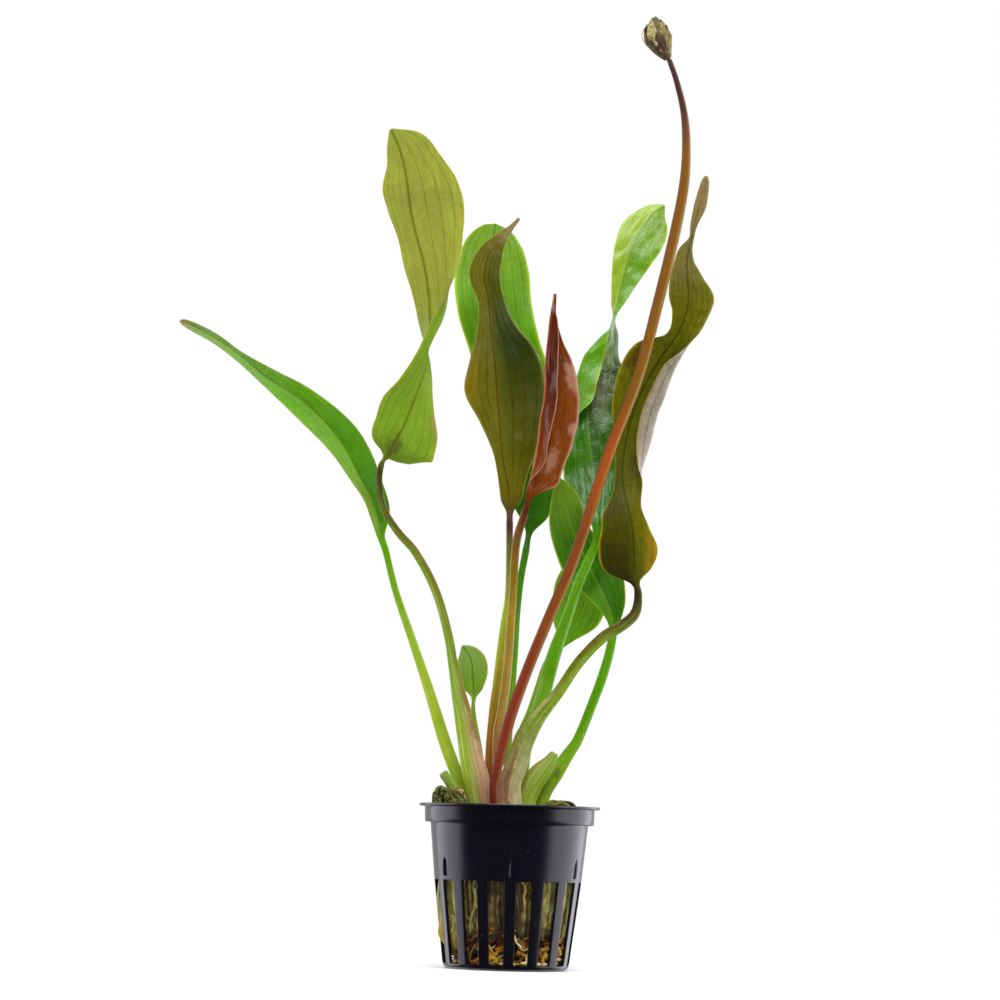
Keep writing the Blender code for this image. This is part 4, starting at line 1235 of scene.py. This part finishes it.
def fibre_finish(name, stops, streak):
    finish = Finish(name)
    where = finish.place()
    lumps = finish.noise(420.0, 4.0, where)
    x, y, z = [finish.node("ShaderNodeSeparateXYZ", {}, {0: where}, axis) for axis in "XYZ"]
    thread = finish.stretched_noise(x * 2600, y * 2600, z * streak)
    value = finish.attribute("tone") + (lumps - 0.5) * 0.4 + (thread - 0.5) * 0.35
    colour = finish.ramp(value, even_stops(stops))
    colour = finish.tinted(colour, "gold", finish.attribute("reach") * 0.75)
    return finish.connect(Base_Color=colour, Roughness=0.82 - thread * 0.2,
                          Normal=finish.bump(thread + lumps, 0.0003, 0.8),
                          Specular_IOR_Level=0.35)


wool_finish = fibre_finish("rock wool finish", WOOL_PIGMENTS, 300.0)
finished_piece("wool_plug", wool_shape, wool_finish, "rock_wool")

# %% [markdown]
# Roots have grown down through the wool and wind round the foot of the pot: thin and
# thick ones from brown to straw, and a few long pale ones near the front.

# %% Root mat
ROOT_FOOT = 1.5
ROOT_TOP = 11.4
# count, heights, lengths, wander, radii, sides and tones of the thin and the thick roots
ROOT_KINDS = (
    (150, (ROOT_FOOT + 1, ROOT_TOP + 2), (6, 20), 0.28, (0.12, 0.32), 7, (0.2, 0.35, 0.45, 0.6, 0.8)),
    (120, (ROOT_FOOT, 7), (2.5, 8), 0.4, (0.4, 0.85), 9, (0.25, 0.4, 0.5, 0.6, 0.8)),
)
# angle, height, length and tone of the long pale roots
LONG_ROOTS = ((306, 4, 12, 0.95), (304, 2.6, 12, 0.9), (283, 2.4, 10, 0.95), (214, 3, 12, 0.8),
              (240, 3.5, 14, 0.7), (258, 2.8, 12, 0.7))
# no root starts between these angles, where the wool hangs lowest
WOOL_HANGS = (184, 216)


def root_core(share, angle):
    height = ROOT_FOOT + (ROOT_TOP - ROOT_FOOT) * share
    swell = 1.3 * noise.noise(on_pot(angle, 4, height * 0.5)) - 1.6 * abs(2 * share - 1) ** 4
    place = on_pot(angle, 15.2 + swell, height)
    return place, {"tone": 0.1 + 0.35 * noise.noise(place * 0.5)}


def root_line(chance, angle, height, length, wander):
    def keep(place):
        level = min(max(place.z, ROOT_FOOT + 0.6), ROOT_TOP + 3)
        limit = wall_radius(max(level, WALL_FOOT)) - WALL - 0.5
        radius = min(max(place.xy.length, 15.4), limit)
        turn = math.degrees(math.atan2(place.y, place.x))
        return on_pot(turn, radius, level)

    start = on_pot(angle, chance.uniform(15.6, 18.4), height)
    round_pot = Vector((-start.y, start.x, 0)).normalized() * chance.choice((-1, 1))
    heading = round_pot + Vector((0, 0, chance.gauss(-0.2, 0.7)))
    return wandering(chance, start, heading, length, 0.8, wander, keep)


def add_roots(shape, chance):
    for count, heights, lengths, wander, radii, sides, tones in ROOT_KINDS:
        for _ in range(count):
            angle, height = chance.uniform(0, 360), chance.uniform(*heights)
            line = root_line(chance, angle, height, chance.uniform(*lengths), wander)
            if not WOOL_HANGS[0] < angle < WOOL_HANGS[1]:
                strand(shape, line, chance.uniform(*radii), sides, chance.choice(tones))
    for angle, height, length, tone in LONG_ROOTS:
        strand(shape, root_line(chance, angle, height, length, 0.12), 0.5, 9, tone)


ROOT_PIGMENTS = ("soil", "rust", "gold", "straw", "cream")
LOOSE_ROOT = ((276.9, 11), (278, 9.3), (281, 8), (285.4, 6.9))
root_finish = fibre_finish("root finish", ROOT_PIGMENTS, 1200.0)
root_shape = skin_from(turned_rings(20, 180, root_core))
add_roots(root_shape, random.Random(5))
laid_strand(root_shape, LOOSE_ROOT, 0.28)
finished_piece("root_tangle", root_shape, root_finish, "root_mat")

# %% [markdown]
# The crown, from which everything grows, is a short knobbly stock with the scars of old
# leaves round it. It is hidden from the front and seen only between stems from above.

# %% Crown
CROWN_TOP = 30.8
CROWN_FOOT = 19.5


def crown_point(share, angle):
    height = CROWN_FOOT + (CROWN_TOP - CROWN_FOOT) * min(share * 1.25, 1)
    radius = 10.2 * math.sqrt(max(0.0, 1 - max(0.0, (share - 0.8) / 0.2) ** 2)) * blend(-0.4, 0.35, share)
    scar = 0.25 * math.cos(math.radians(angle * 7) + height * 1.3)
    lump = 0.7 * noise.noise(on_pot(angle, 3, height * 0.4))
    place = on_pot(angle, max(radius * (1 + 0.03 * lump) + scar * min(radius, 1), 0), height)
    return place, {"tone": 0.3 + 0.2 * lump}


crown_shape = skin_from(turned_rings(40, 120, crown_point))
finished_piece("crown_stock", crown_shape, root_finish, "crown")

# %% [markdown]
# Two tufts of dark threads lie over the rim of the pot, tangled and curled.

# %% Tufts
# first and last angle, radius, height, number of threads and seed
TUFTS = {"moss_left": (181, 233, 21.1, 54.2, 150, 3), "moss_right": (298, 334, 20.6, 50.8, 90, 4)}
MOSS_FOOT = 45.2


def tuft_shape(start, end, ring, top, count, seed):
    chance = random.Random(seed)
    shape = new_shape()

    def keep(place):
        turn = min(max(math.degrees(math.atan2(place.y, place.x)) % 360, start), end)
        share = (turn - start) / (end - start)
        roof = MOSS_FOOT + (top - MOSS_FOOT) * max(0.3, math.sin(math.pi * share) ** 0.5)
        radius = min(max(place.xy.length, ring - 2.6), ring + 2.4)
        return on_pot(turn, radius, min(max(place.z, MOSS_FOOT), roof))

    for _ in range(count):
        angle = chance.uniform(start, end)
        origin = keep(on_pot(angle, ring + chance.uniform(-2, 2), chance.uniform(MOSS_FOOT, top)))
        heading = Vector([chance.gauss(0, 1) for _ in range(3)])
        line = wandering(chance, origin, heading, chance.uniform(5, 14), 0.5, 0.34, keep)
        strand(shape, line, chance.uniform(0.25, 0.7), 9, min(1, 0.25 + chance.expovariate(5)))
    return shape


MOSS_PIGMENTS = ("soil", "dark olive", "olive", "tan")
moss_finish = fibre_finish("moss finish", MOSS_PIGMENTS, 2600.0)
for name, details in TUFTS.items():
    finished_piece(name + "_threads", tuft_shape(*details), moss_finish, name)

# %% [markdown]
# The flower stalk is round with faint ribs. It goes from red near the foot through rust
# and ochre to a purple brown under the bud, and its skin carries long fine streaks. Its
# left side is darkened with painted shade and its right side lit with a painted highlight.

# %% Flower stalk
STALK = [(-1.8, -6.6, 31, 3.2), (-5, -7.8, 54, 2.8), (-3.5, -8.5, 63.5, 3.1),
         (-2, -9, 70.2, 3.3), (-0.3, -9.5, 77, 3.4), (4.2, -10.5, 90.5, 3.4),
         (10.3, -12, 106.5, 3.4), (17.2, -13.5, 124, 3.3), (27.2, -17, 157, 3.3),
         (35.3, -19, 180, 3.3), (40.6, -20, 202, 3.4), (45.5, -21, 225, 3.4),
         (47.8, -21.5, 240, 3.1), (48, -22, 252.5, 2.6), (47, -22, 261.5, 2.2),
         (44.5, -22, 271, 1.8), (42.3, -22, 277, 1.6)]
STALK_PIGMENTS = (["copper"] + ["red"] * 4 + ["rust"] * 3 + ["copper"] * 2 + ["ochre"] * 6
                  + ["purple brown"] * 2)


def stem_rings(stations, sides, flatness, ribs, spacing):
    """Rings round a line of x, y, z and width, with a few faint ribs."""
    rows = smooth_rows(stations, spacing)
    rings = []
    for index, ((centre, side, front), row) in enumerate(zip(frames(rows), rows)):
        ring = []
        for step in range(sides):
            angle = math.tau * step / sides
            wobble = 0.03 * noise.noise(Vector((math.cos(angle), math.sin(angle), row[2] * 0.1)))
            radius = row[3] / 2 * (0.985 + 0.015 * math.cos(ribs * angle) + wobble)
            place = (centre + side * radius * math.cos(angle)
                     + front * radius * flatness * math.sin(angle))
            notes = {"across": math.cos(angle), "level": index / (len(rows) - 1), "run": index * spacing,
                     "face": max(0.0, math.sin(angle))}
            ring.append((place, notes))
        rings.append(ring)
    return rings


def stem_finish(name, stops, left_colour_and_shade, right_highlight_colour, cut_colour="cream", streak_share=0.0):
    """Long streaks over a colour that changes along the stem; its left side takes a second colour, painted
    shade on the stalk and a sheath's colour on the stubs, and its right side a painted highlight.
    """
    finish = Finish(name)
    level, across, run = [finish.attribute(key) for key in ("level", "across", "run")]
    colour = finish.ramp(level, even_stops(stops))
    streaks = finish.stretched_noise(across * 6, run * 0.05, finish.attribute("face") * 4)
    speckle = finish.noise(700.0, 3.0)
    # The left side's tint is painted shade on the stalk; the right side's tint is a painted highlight.
    colour = finish.tinted(colour, left_colour_and_shade, (1.0 - finish.step(across, -0.9, -0.2)) * 0.5)
    colour = finish.tinted(colour, right_highlight_colour, finish.step(across, 0.2, 1.0) * 0.4)
    colour = finish.tinted(colour, "cream", finish.step(streaks, 0.5, 0.6) * streak_share)
    tone = 0.5 + streaks * 0.42 + speckle * 0.14
    colour = finish.tinted(finish.shaded(colour, tone), cut_colour, finish.attribute("tone"))
    return finish.connect(Base_Color=colour, Roughness=0.3 + speckle * 0.2,
                          Normal=finish.bump(streaks + speckle * 0.3, 0.0002),
                          Subsurface_Weight=0.15, Subsurface_Radius=(1.0, 0.6, 0.3),
                          Subsurface_Scale=INNER_SCATTER, Specular_IOR_Level=0.2)


# maroon is painted shade on the stalk's left side, gold a painted highlight on its right side
stalk_finish = stem_finish("stalk finish", STALK_PIGMENTS, "maroon", "gold")
stalk_shape = skin_from(stem_rings(STALK, 36, 1.0, 5, 0.9))
finished_piece("stalk_skin", stalk_shape, stalk_finish, "flower_stalk")

# %% [markdown]
# Two leaves were cut away, and their stubs remain. Each cut end is inset and sunk a
# little, because the spongy middle of a cut stem dries back behind its skin.

# %% Cut stems
# each stub: its stations, flatness, the colour of its left side, its painted highlight on the right, and its
# cut end
CUT_STEMS = {
    "cut_stem_left": ([(-8.6, -1.2, 31, 2.7), (-14, -2.4, 50, 2.7), (-17.6, -3.4, 54.6, 2.9),
                       (-20.5, -4, 58.6, 2.9)], 0.85, "moss green", "lime", "rust"),
    "cut_stem_right": ([(6.6, -1, 31, 4.2), (4.8, -1.1, 50, 6.2), (6.7, -1.3, 56, 6.5),
                        (8.9, -1.6, 59.5, 6.3), (11.6, -2, 62.9, 4.2), (13.1, -2.3, 65.5, 2.6)],
                       0.32, "straw", "lime", "gold"),
}
STUB_PIGMENTS = ("lime", "lime", "light green")
STUB_STREAKS = 0.3


def make_cut_stem(name, stations, flatness, *colours):
    shape = skin_from(stem_rings(stations, 36, flatness, 6, 0.7))
    closed_skins(shape)
    end = Vector(stations[-1][:3])
    cut = min(shape.faces, key=lambda face: (face.calc_center_median() - end).length)
    bmesh.ops.inset_region(shape, faces=[cut], thickness=0.28, depth=0)
    bmesh.ops.inset_region(shape, faces=[cut], thickness=0.12, depth=-0.25)
    tone = shape.verts.layers.float["tone"]
    for vert in cut.verts:
        vert[tone] = 1.0
    finish = stem_finish(name + " finish", STUB_PIGMENTS, *colours, streak_share=STUB_STREAKS)
    finished_piece(name + "_skin", shape, finish, name)


for name, details in CUT_STEMS.items():
    make_cut_stem(name, *details)

# %% [markdown]
# The bud is a small leaning egg, wrapped in dry papery bracts that lie close against it
# and lift only at their tips. A bract is a small grid laid on the egg and thickened.

# %% Flower bud
BUD_LINE = [Vector(place) for place in ((42.1, -22, 277.2), (40.9, -22, 279.2), (39.6, -22, 281.8),
                                        (38.5, -22, 284.4), (38, -22, 287), (37.6, -22, 290.3))]
BUD_RADII = (0.8, 2.1, 3.4, 3.9, 3.2, 0.4)
BRACTS = (
    # turn, start, end, half width, lift, tone
    (0, 0.02, 0.62, 2.9, 0.5, 0.32), (60, 0.0, 0.5, 3.0, 0.6, 0.5), (120, 0.04, 0.66, 2.8, 0.4, 0.38),
    (180, 0.0, 0.58, 3.0, 0.8, 0.62), (240, 0.03, 0.7, 2.8, 0.4, 0.42), (300, 0.0, 0.56, 3.0, 0.5, 0.3),
    (30, 0.22, 0.86, 2.4, 0.4, 0.55), (95, 0.25, 0.94, 2.2, 0.3, 0.35), (150, 0.22, 0.84, 2.4, 0.7, 0.75),
    (215, 0.28, 0.96, 2.2, 0.3, 0.45), (265, 0.2, 0.88, 2.5, 0.5, 0.36), (330, 0.24, 0.92, 2.3, 0.7, 0.7),
    (10, 0.4, 1.0, 1.6, 0.1, 0.4), (130, 0.42, 1.0, 1.6, 0.1, 0.3), (250, 0.4, 1.0, 1.7, 0.1, 0.5),
)
BRACT_ROWS = 18
BRACT_COLUMNS = 10
PAPER_LOOPS = (((35.2, -23, 287.4), (34.1, -23.4, 285.8), (33.7, -23.6, 283.6), (34.6, -23.6, 281.6),
                (36.2, -23.4, 279.9)),
               ((39.6, -24.6, 287.2), (40.9, -25, 287.3), (41.7, -25, 286.2), (41.9, -24.8, 284.8)))


def on_bud(share, turn, lift):
    """A place on the egg: how far up it, how far round it in degrees, and how far off its skin."""
    step = min(max(share, 0.0), 1.0) * (len(BUD_LINE) - 1)
    low = min(int(step), len(BUD_LINE) - 2)
    along = step - low
    centre = BUD_LINE[low].lerp(BUD_LINE[low + 1], along)
    radius = BUD_RADII[low] + (BUD_RADII[low + 1] - BUD_RADII[low]) * along
    aim = (BUD_LINE[min(low + 2, len(BUD_LINE) - 1)] - BUD_LINE[max(low - 1, 0)]).normalized()
    outward = Matrix.Rotation(math.radians(turn), 3, aim) @ Vector((0, -1, 0))
    return centre + outward * (radius + lift), radius


def add_bract(shape, turn, start, end, half_width, lift, tone):
    grid = bmesh.ops.create_grid(shape, x_segments=BRACT_COLUMNS, y_segments=BRACT_ROWS, size=1)["verts"]
    layer = {name: shape.verts.layers.float[name] for name in NOTES}
    for index, vert in enumerate(grid):
        row, column = divmod(index, BRACT_COLUMNS + 1)
        share, across = row / BRACT_ROWS, 2 * column / BRACT_COLUMNS - 1
        place = start + (end - start) * share
        half = 0.8 * half_width * math.sin(math.pi * min(share * 0.9 + 0.1, 0.96)) ** 0.8
        off = 0.25 + lift * share**3 + 0.16 * math.sin(share * 17 + turn) * across**2 - 0.15 * abs(across)
        degrees = math.degrees(across * half / max(on_bud(place, turn, 0)[1], 1.2))
        vert.co = on_bud(place, turn + degrees, off)[0]
        vert[layer["tone"]] = tone
        vert[layer["across"]] = across
        vert[layer["level"]] = share
    faces = list({face for vert in grid for face in vert.link_faces})
    bmesh.ops.recalc_face_normals(shape, faces=faces)
    bmesh.ops.solidify(shape, geom=faces, thickness=0.12)


def bud_finish():
    finish = Finish("bud finish")
    tone, level, across = [finish.attribute(key) for key in ("tone", "level", "across")]
    streaks = finish.stretched_noise(across * 5, level * 1.5, tone * 30)
    blotch = finish.noise(600.0, 3.0)
    spots = finish.step(finish.noise(800.0, 2.0), 0.52, 0.64)
    value = tone + (streaks - 0.5) * 0.9 + (blotch - 0.5) * 0.5
    colour = finish.ramp(value, even_stops(("soil", "umber", "khaki", "cream")))
    colour = finish.tinted(colour, "copper", finish.step(blotch, 0.4, 0.7) * 0.1)
    colour = finish.tinted(colour, "maroon", spots * 0.6)
    return finish.connect(Base_Color=colour, Roughness=0.55 + blotch * 0.2,
                          Normal=finish.bump(streaks + blotch * 0.5, 0.00025),
                          Subsurface_Weight=0.1, Subsurface_Radius=(1.0, 0.8, 0.5),
                          Subsurface_Scale=INNER_SCATTER)


def bud_core(share, angle):
    """The egg under the bracts, lumpy and drawn in at its two ends."""
    sunk = 0.12 if 0 < share < 1 else 0.3
    lump = 0.2 * noise.noise(Vector((share * 6, angle * 0.04, 0)))
    return on_bud(share, angle, lump - sunk)[0], {"tone": 0.15, "level": 0.3}


def make_bud():
    shape = skin_from(turned_rings(31, 36, bud_core))
    for bract in BRACTS:
        add_bract(shape, *bract)
    for loop in PAPER_LOOPS:
        rows = smooth_rows(loop, 0.3)
        strand(shape, [Vector(row) for row in rows], 0.22, 7, 0.95, 0.5)
    finished_piece("bud_bracts", shape, bud_finish(), "flower_bud")


make_bud()
